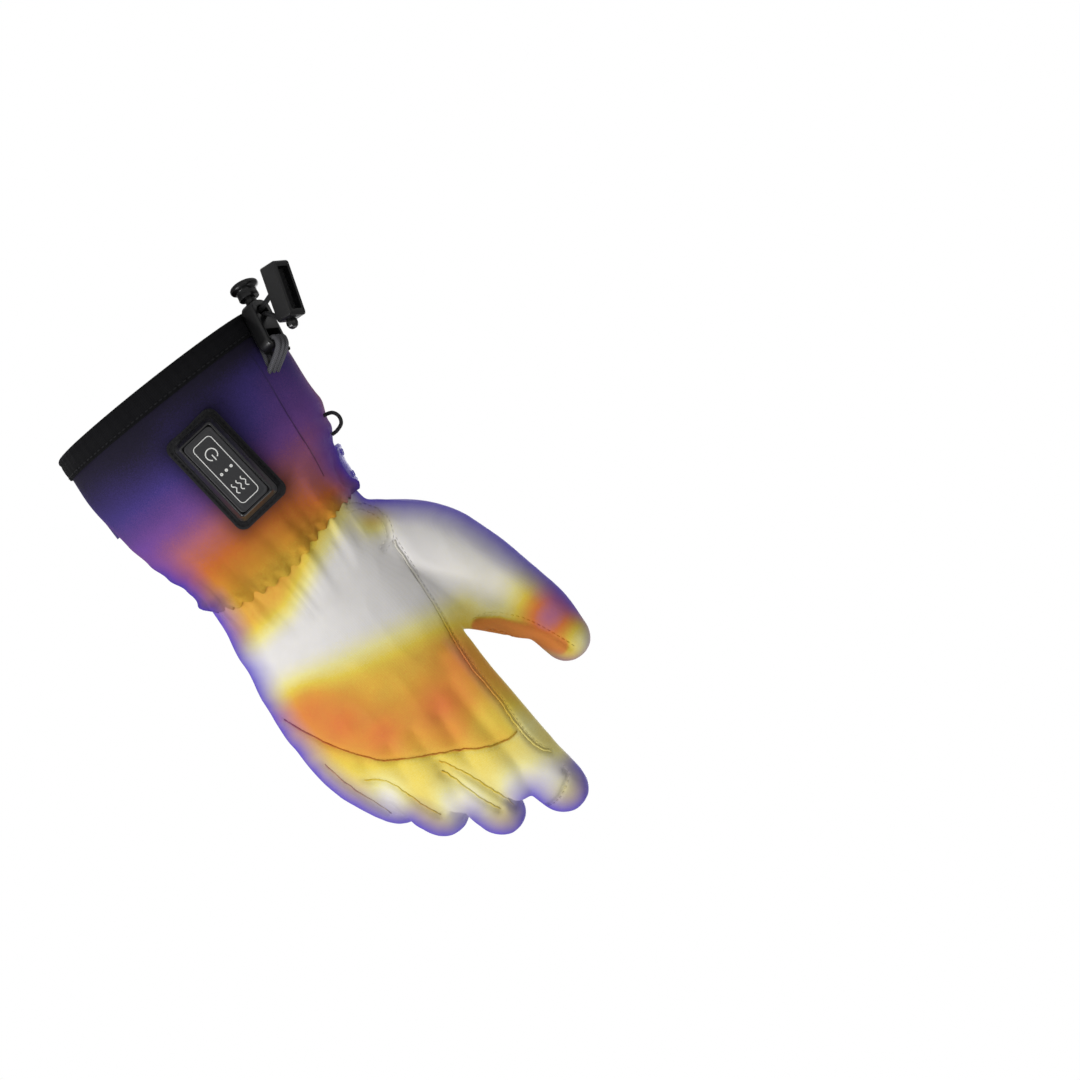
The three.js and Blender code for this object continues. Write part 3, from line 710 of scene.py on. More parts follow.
def gathers(phi, z):
    """Depth of the wrist gathers, in millimetres, at an angle and a height."""
    near_line = np.maximum(0.0, 1 - np.abs(z - CUFF) / PLEAT_REACH) ** 1.2
    wave = np.cos(PLEATS * phi + 0.6 * np.sin(2 * phi))
    wave = wave + 0.45 * np.cos((PLEATS / 2 + 1) * phi + 0.8)
    wave = wave + 0.4 * np.cos(23 * phi + 0.03 * z)
    fine = 0.7 * np.cos(38 * phi + 1.5 * np.sin(3 * phi)) * np.exp(-np.abs(z - CUFF) / 7)
    return PLEAT_DEPTH * 0.62 * near_line * (wave - 1.5) + fine


def gather_rise(phi):
    """How far the elastic line rises over the back of the hand, in millimetres."""
    over = np.maximum(0.0, -np.sin(phi))
    return 14 * over ** 0.8 - 12 * np.maximum(0.0, -np.cos(phi)) * over


rises = [round(float(gather_rise(math.radians(a))), 1) for a in (-30, -90, -150)]
print("gather line rises, mm:", rises)

# %% Hand dressing
# depth and width in mm of what is pressed in
SEAM_PRESS = [(1.3, 1.7)]
CREASE_PRESS = [(1.8, 3.0), (1.4, 1.2)]
PUCKER_LIMIT = 2.7  # no deeper, so that the wall isn't pressed through
WRIST_SHIFT = 1.5

points = points_of(hand.data)
normals = normals_of(hand.data)
for lines, presses in ((seam_lines, SEAM_PRESS), (crease_lines, CREASE_PRESS)):
    for line in lines.values():
        for depth, width in presses:
            points = pressed(points, normals, spots_of(line), depth * MM, width * MM)
height = points[:, 2] / MM
angle = np.arctan2(points[:, 1] / WRIST_DEPTH, (points[:, 0] - WRIST_SHIFT * MM) / WRIST_WIDTH)
above = height - gather_rise(angle)
calm = eased(height, CUFF + 6, CUFF + PLEAT_REACH)
near_wrist = np.clip(1 - (above - CUFF) / PLEAT_REACH, 0, 1) ** 1.3
pucker = folds(np.stack([angle * 9, above / 26, angle * 0], 1), 1.0, 3)
puckered = 0.8 * gathers(angle, above) + near_wrist * (pucker - 1.1)
points += normals * (np.maximum(puckered, -PUCKER_LIMIT) * MM)[:, None]
points += normals * (calm * value_noise(points, 26 * MM, 5) * 0.7 * MM)[:, None]
points += normals * (calm * folds(points, 13 * MM, 8, (1, 1, 0.6)) * 0.3 * MM)[:, None]
set_points(hand.data, points)
hand_tree = skin_tree(hand)
print("hand dressed, mm:", [round(float(v) / MM) for v in points.min(0)], "to",
      [round(float(v) / MM) for v in points.max(0)])

# %% [markdown]
# ### Hollow inside
# The glove is worn on a hand, so the skin is hollow: a plain inner skin, a wall's thickness
# inside, is cut out of it, and the cut at the wrist leaves it open to the cuff.

# %% Hollow
def cut_away(obj, cutter):
    """Cuts one closed form out of another and removes the cutter."""
    cut = obj.modifiers.new("cut", "BOOLEAN")
    cut.operation = "DIFFERENCE"
    cut.solver = "MANIFOLD"
    cut.object = cutter
    settled(obj)
    bpy.data.objects.remove(cutter)


def block(place, low, high):
    """A plain box between two corners, in millimetres, to cut with."""
    x, y, z = zip(low, high)
    points = [placed(place, a, b, c) for a in x for b in y for c in z]
    faces = [
        (0, 1, 3, 2), (4, 6, 7, 5), (0, 4, 5, 1), (2, 3, 7, 6), (0, 2, 6, 4), (1, 5, 7, 3),
    ]
    return add_object("block", face_out(mesh_from(points, faces)))


lining = melted("lining_form", [
    body_rows(-HAND_WALL - PLEAT_DEPTH, CUFF - 12, 16, 40),
    *[finger_rows(row, HAND_WALL + 1, 12) for row in FINGERS.values()],
    thumb_rows(THUMB, THUMB_FLATNESS, HAND_WALL + 1, 14),
    thumb_rows(WEB, WEB_FLATNESS, HAND_WALL + 1, 12),
], LINING_VOXEL)
cut_away(hand, lining)
cut_away(hand, block(Matrix(), (-200, -200, 0), (200, 200, CUFF + 0.3)))
smooth(hand.data)
print("hollow hand:", len(hand.data.polygons), "faces")

# %% [markdown]
# ## The cuff
# The cuff is one wall of cloth, so a grid of rings makes it: out from the hem to the wrist and
# back down inside. Elastic at the wrist draws it into gathers, which are folds with sharp
# crests that die out down the cuff. Its upper edge is a ruffle that overlaps the hand.


# %% Cuff
WRIST_LIFT, EDGE_WALL, RUFFLE_LOW = 2.2, 1.1, 1.3
RUFFLES, RUFFLE_HEIGHT, EDGE_ROLL = 38, 1.1, 1.3
HEM_DROOP, DROOP_HEIGHT = 4, 50
CUFF_SIDES, CUFF_LOW = 320, HEM_HEIGHT - 1.5


def hem_droop(phi, z):
    """How far the hem hangs down at the back, in millimetres."""
    return HEM_DROOP * max(0.0, -math.sin(phi)) * max(0.0, 1 - z / DROOP_HEIGHT)


def cuff_point(phi, z, inside=False):
    """A point of the cuff. Its upper edge is a ruffle that rises over the back of the hand and
    lies a little proud of it."""
    ruffle = gather_rise(phi) + RUFFLE_HEIGHT * math.cos(RUFFLES * phi + 0.9)
    real = z + float(eased(z, 70, CUFF)) * max(ruffle, RUFFLE_LOW + 0.25 * ruffle)
    over = float(eased(real, CUFF - 10, CUFF - 1))
    roll = EDGE_ROLL * math.exp(-((z - CUFF + 4) / 2.2) ** 2) * over
    offset = WRIST_LIFT * over + roll - 1.0 * float(eased(z, CUFF - 1.5, CUFF))
    if inside:
        offset -= CUFF_WALL + over * (EDGE_WALL - CUFF_WALL)
    lean = 0.55 * math.sin(5 * phi + z / 17) + 0.4 * math.sin(9 * phi - z / 11)
    lean *= min(1.0, z / 30) * 0.8
    point = skin_point(phi, real, offset + float(gathers(phi, z)) + lean)
    point.z -= hem_droop(phi, z) * MM
    return point


out_heights = [*spaced(CUFF_LOW, CUFF - 9, 70), *spaced(CUFF - 8.4, CUFF, 16)]
cuff_rings = [
    [cuff_point(phi, z, inside) for phi in circle(CUFF_SIDES)]
    for heights, inside in ((out_heights, False), (spaced(CUFF - 0.1, CUFF_LOW, 26), True))
    for z in heights
]
cuff = add_object("cuff_cloth", welded(grid_mesh(
    [*cuff_rings, cuff_rings[0]], ends=False, uv_size=(400, 220)
)))
print("cuff:", len(cuff.data.polygons), "faces")

# %% Hem
HEM_ROLL = HEM_THICKNESS - CUFF_WALL
HEM_SIDES = 300
HEM_PROFILE = [
    (0.0, -2.3), (-0.2, -1.2), (0.0, 0.2), (0.7, 1.1), (2.2, HEM_ROLL + 0.15),
    (3.4, HEM_ROLL - 0.25), (5.0, HEM_ROLL + 0.1), (8.0, HEM_ROLL + 0.2),
    (10.6, HEM_ROLL - 0.1), (11.6, HEM_ROLL - 0.35), (12.4, HEM_ROLL),
    (13.0, HEM_ROLL * 0.5), (13.1, 0.05), (12.6, -2.5), (6.0, -2.6),
]
hem_rings = []
for z, offset in [*HEM_PROFILE, HEM_PROFILE[0]]:
    ring = []
    for phi in circle(HEM_SIDES):
        wave = 0.18 * math.sin(phi * 61) + 0.25 * math.sin(phi * 7)
        ring.append(skin_point(phi, z, offset + wave) - UP * hem_droop(phi, z) * MM)
    hem_rings.append(ring)
hem = add_object("hem_binding", welded(grid_mesh(hem_rings, ends=False, uv_size=(400, 40))))
print("hem:", len(hem.data.polygons), "faces")

# %% [markdown]
# ## The heater control
# The control is a hard box on a padded woven base, and its top is a soft membrane that is
# pressed through. Its walls lean in, so it is a stack of rounded outlines. Each outline is a
# little smaller than the last, which also rounds the edges without a bevel.

# %% Rounded outlines
CONTROL = skin_frame(-96, 61, 0, 5)
CONTROL_WIDTH, CONTROL_LENGTH, CONTROL_HEIGHT = 28, 57, 9
BASE_MARGIN, BASE_THICKNESS = 4, 2.6
PAD_MARGIN, PAD_DEPTH, PAD_THICKNESS = 3.9, 0.7, 1.0
GAP = 0.3


def rounded_outline(width, length, radius, per=8):
    """Points round a rectangle with round corners."""
    points = []
    for quarter, (sx, sy) in enumerate(((1, 1), (-1, 1), (-1, -1), (1, -1))):
        cx, cy = sx * (width / 2 - radius), sy * (length / 2 - radius)
        for k in range(per + 1):
            a = math.pi / 2 * (quarter + k / per)
            points.append((cx + radius * math.cos(a), cy + radius * math.sin(a)))
    return points


def stacked(name, width, length, radius, stages):
    """A closed form on the control's place, from outlines at heights with their insets."""
    rows = []
    for z, inset in stages:
        corner = max(0.3, radius - inset * 0.6)
        outline = rounded_outline(width - 2 * inset, length - 2 * inset, corner, 10)
        rows.append([placed(CONTROL, x, y, z) for x, y in outline])
    return closed_object(name, rows, (200, 40))


top = BASE_THICKNESS
base = stacked(
    "control_base", CONTROL_WIDTH + 2 * BASE_MARGIN, CONTROL_LENGTH + 2 * BASE_MARGIN, 5.5,
    [(-5.6, 0.6), (-5, 0), (top - 1.2, 0), (top - 0.5, 0.2), (top - 0.1, 0.7), (top, 1.4),
     (top - 0.25, 2.2), (top - 0.1, 3.0), (top - 0.1, 8)],
)
low = BASE_THICKNESS + GAP
top = low + CONTROL_HEIGHT
housing = stacked(
    "control_housing", CONTROL_WIDTH, CONTROL_LENGTH, 3.4,
    [(low, 0.9), (low + 0.1, 0.35), (low + 0.5, 0.05), (low + 2.2, 0), (low + 2.7, 0.12),
     (low + 3.2, 0.5), (low + 7.4, 1.9), (top - 0.7, 2.25), (top - 0.25, 2.6), (top, 3.1),
     (top - 0.05, 3.4), (top - 0.3, 3.55), (top - 0.95, 3.6), (top - 0.95, 6)],
)
low = top - PAD_DEPTH
top = low + PAD_THICKNESS
PAD_WIDTH, PAD_LENGTH = CONTROL_WIDTH - 2 * PAD_MARGIN, CONTROL_LENGTH - 2 * PAD_MARGIN
pad = stacked(
    "control_membrane", PAD_WIDTH, PAD_LENGTH, 2.6,
    [(low, 0.2), (low + 0.3, 0), (top - 0.3, 0), (top - 0.05, 0.25), (top, 0.6),
     (top - 0.05, 1.0), (top - 0.16, 1.4), (top - 0.16, 1.9), (top - 0.05, 2.3), (top, 2.8),
     (top, 6)],
)
PRINT_HEIGHT = top + 0.04
print("control faces:", [len(o.data.polygons) for o in (base, housing, pad)])

# %% [markdown]
# The membrane carries a plain pale print: a thin frame, a power sign, three level dots and a
# row of heat waves. Each line is a low ribbon that stands a tenth of a millimetre proud.


# %% Print on the membrane
PRINT_RISE = 0.12


def ribbon(line, width, closed):
    """Points and faces of a low flat ribbon along a plane line on the membrane."""
    count = len(line)
    points, faces = [], []
    for i, spot in enumerate(line):
        before = line[(i - 1) % count] if closed or i else spot
        after = line[(i + 1) % count] if closed or i < count - 1 else spot
        way = Vector((after[0] - before[0], after[1] - before[1])).normalized()
        side = Vector((-way.y, way.x)) * width / 2
        for sign, rise in ((1, -1), (1, 1), (-1, 1), (-1, -1)):
            points.append(placed(
                CONTROL, spot[0] + sign * side.x, spot[1] + sign * side.y,
                PRINT_HEIGHT + rise * PRINT_RISE,
            ))
    for i in range(count if closed else count - 1):
        j = (i + 1) % count
        for k in range(4):
            m = (k + 1) % 4
            faces.append((4 * i + k, 4 * i + m, 4 * j + m, 4 * j + k))
    if not closed:
        faces += [(0, 1, 2, 3), tuple(4 * (count - 1) + k for k in (3, 2, 1, 0))]
    return points, faces


def arc(y, radius, x=0, start=0, end=360):
    angles = map(math.radians, spaced(start, end, 29))
    return [(x + radius * math.cos(a), y + radius * math.sin(a)) for a in angles]


lines = [
    (rounded_outline(PAD_WIDTH - 7.2, PAD_LENGTH - 8, 2.4), 0.45, True),
    (arc(-11.5, 3.4, start=120, end=420), 0.65, False),
    ([(0, -11.2), (0, -9.4), (0, -7.4)], 0.65, False),
]
for k in range(3):
    lines.append((arc(0.5, 0.55, -3.6 + 3.6 * k)[:-1], 0.7, True))
    wave = [(-3.4 + 3.4 * k + 0.8 * math.sin(t * 1.25), 8.2 + t * 0.85) for t in range(9)]
    lines.append((wave, 0.6, False))
points, faces = [], []
for line, width, closed in lines:
    more, sides = ribbon(line, width, closed)
    faces += [tuple(len(points) + i for i in face) for face in sides]
    points += more
pad_print = add_object("control_print", face_out(mesh_from(points, faces)))
print("print ribbons:", len(lines))

# %% [markdown]
# ## The cord lock
# The lock is a moulded frame with a sprung plunger, like a small mushroom, that pinches the
# cord. Braided cords through its lower slot hold it to the seam. The solids already have these
# shapes, so their copies only get their edges rounded, and the turned plunger is made anew
# with a rounder section.


# %% Rounded copies of hard solids
def rounded_copy(node, name, width):
    """A copy of a hard solid with its facets joined and its edges rounded."""
    work = bmesh.new()
    work.from_mesh(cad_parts[node].data)
    bmesh.ops.remove_doubles(work, verts=work.verts, dist=2e-6)
    bmesh.ops.dissolve_limit(
        work, angle_limit=math.radians(1.5), verts=work.verts, edges=work.edges
    )
    mesh = bpy.data.meshes.new(name)
    work.to_mesh(mesh)
    work.free()
    mesh.materials.clear()
    obj = add_object(name, mesh)
    bevel = obj.modifiers.new("edges", "BEVEL")
    bevel.width, bevel.segments = width * MM, 3
    bevel.limit_method, bevel.angle_limit = "ANGLE", math.radians(32)
    bevel.use_clamp_overlap = True
    smooth(settled(obj).data).set_sharp_from_angle(angle=math.radians(28))
    return obj


lock_body = rounded_copy("cord_lock", "cord_lock_frame", 0.5)
pull_body = rounded_copy("cord_pull", "cord_end_piece", 0.45)
slider = rounded_copy("zip_slider", "zip_slider_body", 0.35)
pull_tab = rounded_copy("zip_pull", "zip_pull_tab", 0.25)
print("lock faces:", len(lock_body.data.polygons), "pull:", len(pull_body.data.polygons))

# %% Anchor cords
ANCHOR_PLACES, ANCHOR_RADIUS = (-3.1, 0, 3.1), 1.5
ANCHOR_ROUTE = [
    (41.5, -13.4), (38.6, -7.5), (36.0, -1.5), (33.6, 3.2), (31.4, 6.2), (28.6, 7.1), (26.3, 6.4),
    (25.3, 3.4), (25.1, 0), (25.3, -3.4), (26.3, -6.4), (28.8, -7.0), (32.0, -7.0), (36.0, -9.0),
    (40.2, -13.4),
]
anchor_cords = add_object("anchor_cords", joined([
    tube_mesh(route_line(LOCK, ANCHOR_ROUTE, x), ANCHOR_RADIUS * MM) for x in ANCHOR_PLACES
]))
print("anchor cords:", len(anchor_cords.data.polygons), "faces")

# %% Plunger
HEAD_RADIUS, STEM_RADIUS, STROKE = 8.5, 3.4, 3
SLOT_MIDDLE, SLOT_HALF, CORD_HALF = 8, 3.8, 1.85
neck = -STROKE - GAP
PROFILE = [  # radius and place along the lock
    (0.4, neck - 9.1), (3.2, neck - 9.2), (3.6, neck - 9.5), (5.4, neck - 9.5),
    (6.9, neck - 9.3), (7.8, neck - 8.8), (8.35, neck - 8.1), (HEAD_RADIUS, neck - 7.4),
    (8.45, neck - 6.7), (8.1, neck - 6.0), (7.2, neck - 5.4), (6.4, neck - 5.0),
    (6.0, neck - 4.4), (5.95, neck - 2.4), (6.1, neck - 0.6), (5.8, neck), (STEM_RADIUS, neck),
    (STEM_RADIUS, neck + 4), (STEM_RADIUS, 6), (STEM_RADIUS, 10), (STEM_RADIUS, 13.2),
    (2.9, 13.6), (0.4, 13.6),
]
plunger = closed_object("lock_button", [
    [placed(LOCK, radius * math.cos(a), y, radius * math.sin(a)) for a in circle(64)]
    for radius, y in PROFILE
], (60, 40))
cut_away(plunger, block(
    LOCK, (-CORD_HALF, SLOT_MIDDLE - 4.0 - STROKE, -10), (CORD_HALF, SLOT_MIDDLE + SLOT_HALF, 10),
))
plunger.data.set_sharp_from_angle(angle=math.radians(40))
print("button faces:", len(plunger.data.polygons))

# %% [markdown]
# ## The wrist strap
# The strap's moulded end wraps round the wrist over the gathers and ends on a hook pad. It is
# a thin plate with a raised rim, low ribs along its middle and short slanted ticks near its
# root. All of this is one grid, whose outer side rises and falls by small steps.

# %% Strap
STRAP_WIDTH, STRAP_THICKNESS = 24, 2.2
STRAP_START, STRAP_END = 179, 64
STRAP_OFFSET = 1.8
ROOT_SUNK, ROOT_SHARE = 3.4, 0.09


def strap_half(t):
    u = max(0.0, (t - 0.88) / 0.12)
    return STRAP_WIDTH / 2 * max(0.1, math.sqrt(max(0.0, 1 - u * u)))


def near(value, middle, width):
    """One at the middle, falling smoothly to nothing a width away."""
    return max(0.0, 1 - abs(value - middle) / width) ** 0.7


def strap_relief(t, s):
    """How far the outer side stands out at a place along and across the strap."""
    edge = max(abs(s), 1 - (1 - t) / 0.07 if t > 0.93 else 0)
    rise = 0.7 * near(edge, 0.84, 0.1) - 0.35 * near(edge, 1.0, 0.1)
    if 0.04 < t < 0.42 and 0.42 < abs(s) < 0.7:
        rise += 0.6 * (math.sin(2 * math.pi * (t * 34 + abs(s) * 0.8)) > 0.2)
    if 0.46 < t < 0.84:
        fade = min(1, (t - 0.46) / 0.02, (0.84 - t) / 0.02)
        rise += 0.65 * fade * max(near(s, c, 0.1) for c in (-0.45, -0.15, 0.15, 0.45))
    return rise


rows = []
for t in spaced(0, 1, 240):
    t = 1 - (1 - t) ** 1.15
    phi = math.radians(STRAP_START + (STRAP_END - STRAP_START) * t)
    half, middle = strap_half(t), read_table([[0, CUFF - 14], [1, CUFF - 1]], t)[0]
    lift = STRAP_OFFSET - ROOT_SUNK * max(0.0, 1 - t / ROOT_SHARE)
    rows.append([skin_point(phi, middle + s * half, lift) for s in spaced(-1, 1, 30)] + [
        skin_point(phi, middle + s * half * 0.985, lift + STRAP_THICKNESS + strap_relief(t, s))
        for s in spaced(1, -1, 30)
    ])
strap = closed_object("strap_end", rows, (48, 130))


def plate_on_skin(name, angles, edges, offsets, relief, counts, uv_size):
    """A thin closed plate on the skin between two angles and two heights."""
    rows = []
    for t in spaced(0, 1, counts[0]):
        phi = math.radians(angles[0] + (angles[1] - angles[0]) * t)
        z0, z1 = edges(t)
        spots = spaced(0, 1, counts[1])
        rows.append([skin_point(phi, z0 + (z1 - z0) * s, offsets[0]) for s in spots] + [
            skin_point(phi, z0 + (z1 - z0) * s, offsets[1] + relief(t, s)) for s in spots[::-1]
        ])
    return closed_object(name, rows, uv_size)


hook_pad = plate_on_skin(
    "strap_hook_pad", (122, 54), lambda t: (CUFF - 18, CUFF + 2), (0.4, 1.4),
    lambda t, s: -0.35 + 0.3 * (math.sin(t * 190) * math.sin(s * 44) > 0), (140, 34), (48, 80),
)
print("strap faces:", len(strap.data.polygons), "hook pad:", len(hook_pad.data.polygons))

# %% [markdown]
# ## The battery pocket's zip
# A zip tape follows the cuff's skin below the wrist, with a coil of small teeth along it. The
# teeth repeat along a path, so Geometry Nodes place them: the path is resampled at the pitch,
# and every other tooth is moved to the other side of it, as the two halves of a zip mesh.

# %% Zip tape
ZIP_ANGLES = (172, 58)
ZIP_WIDTH, ZIP_THICKNESS = 12, 1


def zip_middle(t):
    return read_table([[0, 25], [1, 35]], t)[0]


def zip_edges(t):
    return zip_middle(t) - ZIP_WIDTH / 2, zip_middle(t) + ZIP_WIDTH / 2


def tape_relief(t, s):
    return -0.25 * near(s, 0.5, 0.2) - 0.3 * near(s, 0.0, 0.05) - 0.3 * near(s, 1.0, 0.05)


def zip_line(margin, shift, rise):
    """A line along the tape, beside its middle and above its face, as (place, out) pairs."""
    line = []
    for t in spaced(margin, 1 - margin, 120):
        phi = math.radians(ZIP_ANGLES[0] + (ZIP_ANGLES[1] - ZIP_ANGLES[0]) * t)
        z = zip_middle(t) + shift
        out = (skin_point(phi, z, 6) - skin_point(phi, z, 0)).normalized()
        line.append((skin_point(phi, z, GAP + ZIP_THICKNESS + rise), out))
    return line


zip_tape = plate_on_skin(
    "zip_tape_cloth", ZIP_ANGLES, zip_edges, (GAP, GAP + ZIP_THICKNESS), tape_relief,
    (150, 24), (26, 130),
)
zip_path = zip_line(0.012, 0, 0.25)
print("zip path, mm:", round(line_length(spots_of(zip_path)) / MM))

# %% Geometry Nodes helpers
FLOAT, VECTOR, GEOMETRY = "NodeSocketFloat", "NodeSocketVector", "NodeSocketGeometry"


def new_group(kind, name, inputs, outputs):
    """A node group with named inputs and outputs, and its two end nodes."""
    tree = bpy.data.node_groups.new(name, kind)
    for label, sort, value in inputs:
        socket = tree.interface.new_socket(label, in_out="INPUT", socket_type=sort)
        if value is not None:
            socket.default_value = value
    for label, sort in outputs:
        tree.interface.new_socket(label, in_out="OUTPUT", socket_type=sort)
    return tree, tree.nodes.new("NodeGroupInput").outputs, tree.nodes.new("NodeGroupOutput").inputs


def add_node(tree, kind, settings=None, **values):
    """A node with its settings, and with values or links for its inputs by name."""
    node = tree.nodes.new(kind)
    for key, value in (settings or {}).items():
        setattr(node, key, value)
    for key, value in values.items():
        socket = node.inputs[int(key[1:])] if key[0] == "_" else node.inputs[key.replace("_", " ")]
        if isinstance(value, bpy.types.NodeSocket):
            tree.links.new(value, socket)
        else:
            socket.default_value = value
    return node


def math_node(tree, operation, *values):
    return add_node(
        tree, "ShaderNodeMath", {"operation": operation},
        **{f"_{i}": v for i, v in enumerate(values)},
    ).outputs[0]


def times(tree, a, b):
    return math_node(tree, "MULTIPLY", a, b)


def times_plus(tree, a, b, c):
    return math_node(tree, "MULTIPLY_ADD", a, b, c)


def grown_from(name, lines, tree, finish, **sizes):
    """A plain mesh that a tree grows from lines of (point, out) pairs."""
    points, edges, outs = [], [], []
    for line in lines:
        start = len(points)
        points += [tuple(p) for p, _ in line]
        outs += [tuple(n) for _, n in line]
        edges += [(start + i, start + i + 1) for i in range(len(line) - 1)]
    mesh = bpy.data.meshes.new(name)
    mesh.from_pydata(points, edges, [])
    out = mesh.attributes.new("out", "FLOAT_VECTOR", "POINT")
    out.data.foreach_set("vector", np.array(outs, np.float32).ravel())
    obj = add_object(name, mesh)
    modifier = obj.modifiers.new("grow", "NODES")
    modifier.node_group = tree
    for item in tree.interface.items_tree:
        if item.in_out == "INPUT" and item.name in sizes:
            modifier[item.identifier] = sizes[item.name]
    mesh = settled(obj).data
    mesh.materials.clear()
    mesh.materials.append(finish)
    mesh.polygons.foreach_set("material_index", [0] * len(mesh.polygons))
    return obj


def bead_tree(name, sizes, scale, segments, rings, shift=False):
    """A tree that puts beads at even steps along lines, lying on the skin. With a shift, every
    other bead goes to the other side of the line."""
    tree, given, result = new_group(
        "GeometryNodeTree", name,
        [("Geometry", GEOMETRY, None), *((s, FLOAT, 0.001) for s in ("Pitch", *sizes))],
        [("Geometry", GEOMETRY)],
    )
    curve = add_node(tree, "GeometryNodeMeshToCurve", Mesh=given["Geometry"])
    even = add_node(
        tree, "GeometryNodeResampleCurve", {"mode": "LENGTH"},
        Curve=curve.outputs["Curve"], Length=given["Pitch"],
    )
    way = add_node(tree, "GeometryNodeInputTangent")
    out = add_node(
        tree, "GeometryNodeInputNamedAttribute", {"data_type": "FLOAT_VECTOR"}, Name="out"
    )
    along = add_node(
        tree, "FunctionNodeAlignRotationToVector", {"axis": "X"}, Vector=way.outputs["Tangent"]
    )
    lying = add_node(
        tree, "FunctionNodeAlignRotationToVector", {"axis": "Z", "pivot_axis": "X"},
        Rotation=along.outputs["Rotation"], Vector=out.outputs["Attribute"],
    )
    bead = add_node(
        tree, "GeometryNodeMeshUVSphere", Segments=segments, Rings=rings, Radius=0.5
    )
    size = add_node(
        tree, "ShaderNodeCombineXYZ", **{axis: given[s] for axis, s in zip("XYZ", scale)}
    )
    beads = add_node(
        tree, "GeometryNodeInstanceOnPoints",
        Points=even.outputs["Curve"], Instance=bead.outputs["Mesh"],
        Rotation=lying.outputs["Rotation"], Scale=size.outputs["Vector"],
    ).outputs["Instances"]
    if shift:
        odd = math_node(tree, "MODULO", add_node(tree, "GeometryNodeInputIndex").outputs[0], 2.0)
        reach = times(tree, times_plus(tree, odd, 2.0, -1.0), given["Shift"])
        aside = add_node(tree, "ShaderNodeCombineXYZ", Y=reach)
        beads = add_node(
            tree, "GeometryNodeTranslateInstances", Instances=beads,
            Translation=aside.outputs["Vector"],
        ).outputs["Instances"]
    real = add_node(tree, "GeometryNodeRealizeInstances", Geometry=beads)
    tree.links.new(real.outputs["Geometry"], result["Geometry"])
    return tree


STITCHES = bead_tree(
    "stitch run", ("Length", "Thickness"), ("Length", "Thickness", "Thickness"), 8, 5
)
TEETH = bead_tree(
    "zip teeth", ("Width", "Thickness", "Shift"), ("Thickness", "Width", "Thickness"), 10, 6, True
)
print("trees:", [t.name for t in (STITCHES, TEETH)])

# %% Side tag and hanging loop
TAG = skin_frame(10, 38, 0.4)
TAG_LENGTH, TAG_REACH, TAG_ROOT, TAG_THICKNESS = 32, 13, 3, 1.4
TAG_CURL = math.radians(78)
LOOP = skin_frame(186, 77, 0)
LOOP_HALF, LOOP_REACH, LOOP_ROOT, LOOP_RADIUS = 5.5, 8, -1.6, 1.1


def tag_place(t, y, across):
    """A place on the tag: t from its root to its edge, y along it, across its thickness. It
    curls towards the palm."""
    bend = TAG_CURL * min(1.0, t * 1.5 + 0.2)
    reach = (TAG_REACH + TAG_ROOT) * t - TAG_ROOT
    out = reach * math.cos(bend * 0.8) if reach > 0 else reach
    side = max(0.0, reach) * math.sin(bend * 0.8) + across
    swell = 0.35 * math.sin(y * 0.21 + 1) * t
    return placed(TAG, side + swell, y, out + across * math.sin(bend) * -0.3)


rows = []
for t in spaced(0, 1, 25):
    half, half_length = TAG_THICKNESS / 2 * (1 if t < 0.96 else 0.6), TAG_LENGTH / 2
    rows.append([
        tag_place(t, sign * y, sign * half)
        for sign in (1, -1) for y in spaced(-half_length, half_length, 33)
    ])
tag = closed_object("side_tag_cloth", rows, (66, 16))
bends = [
    (-LOOP_HALF, LOOP_ROOT), (-LOOP_HALF, 2), (-LOOP_HALF * 0.7, LOOP_REACH * 0.8),
    (0, LOOP_REACH),
]
loop_line = route_line(LOOP, bends + [(-y, z) for y, z in bends[-2::-1]], per=8)
hang_loop = add_object("hanging_loop_cord", tube_mesh(loop_line, LOOP_RADIUS * MM, 14))
print("tag and loop:", len(tag.data.polygons), len(hang_loop.data.polygons))

# %% [markdown]
# ## Colour as heat
# The glove is coloured as a heat picture: black where it is cold, then indigo, violet, orange
# and yellow, and nearly white where the heating wires lie. Heat is a number on each point of
# the cloth. It starts from the height above the hem, and patches of the back and of the palm
# pull it up or down. A painted rim shade turns the glove violet towards its outline as the
# camera sees it. One shader group turns these numbers into colour for every cloth.


# %% Heat fields
def steps_of(value, rows):
    """Reads a table of (place, value) for a whole array, straight between its rows."""
    return np.interp(value, [r[0] for r in rows], [r[1] for r in rows])


def patched(heat, across, along, patches):
    """Soft oval patches: middle across and along, two radii, the heat there and its share."""
    for x, z, rx, rz, value, share in patches:
        weight = share * np.exp(-(((across - x) / rx) ** 2 + ((along - z) / rz) ** 2))
        heat = heat + weight * (value - heat)
    return heat


def away_from(across, along, line):
    """Distance on the back view from a line through places."""
    best = np.full(len(across), 1e9)
    for (x0, z0), (x1, z1) in zip(line, line[1:]):
        dx, dz = x1 - x0, z1 - z0
        t = np.clip(((across - x0) * dx + (along - z0) * dz) / (dx * dx + dz * dz), 0, 1)
        best = np.minimum(best, np.hypot(across - x0 - t * dx, along - z0 - t * dz))
    return best


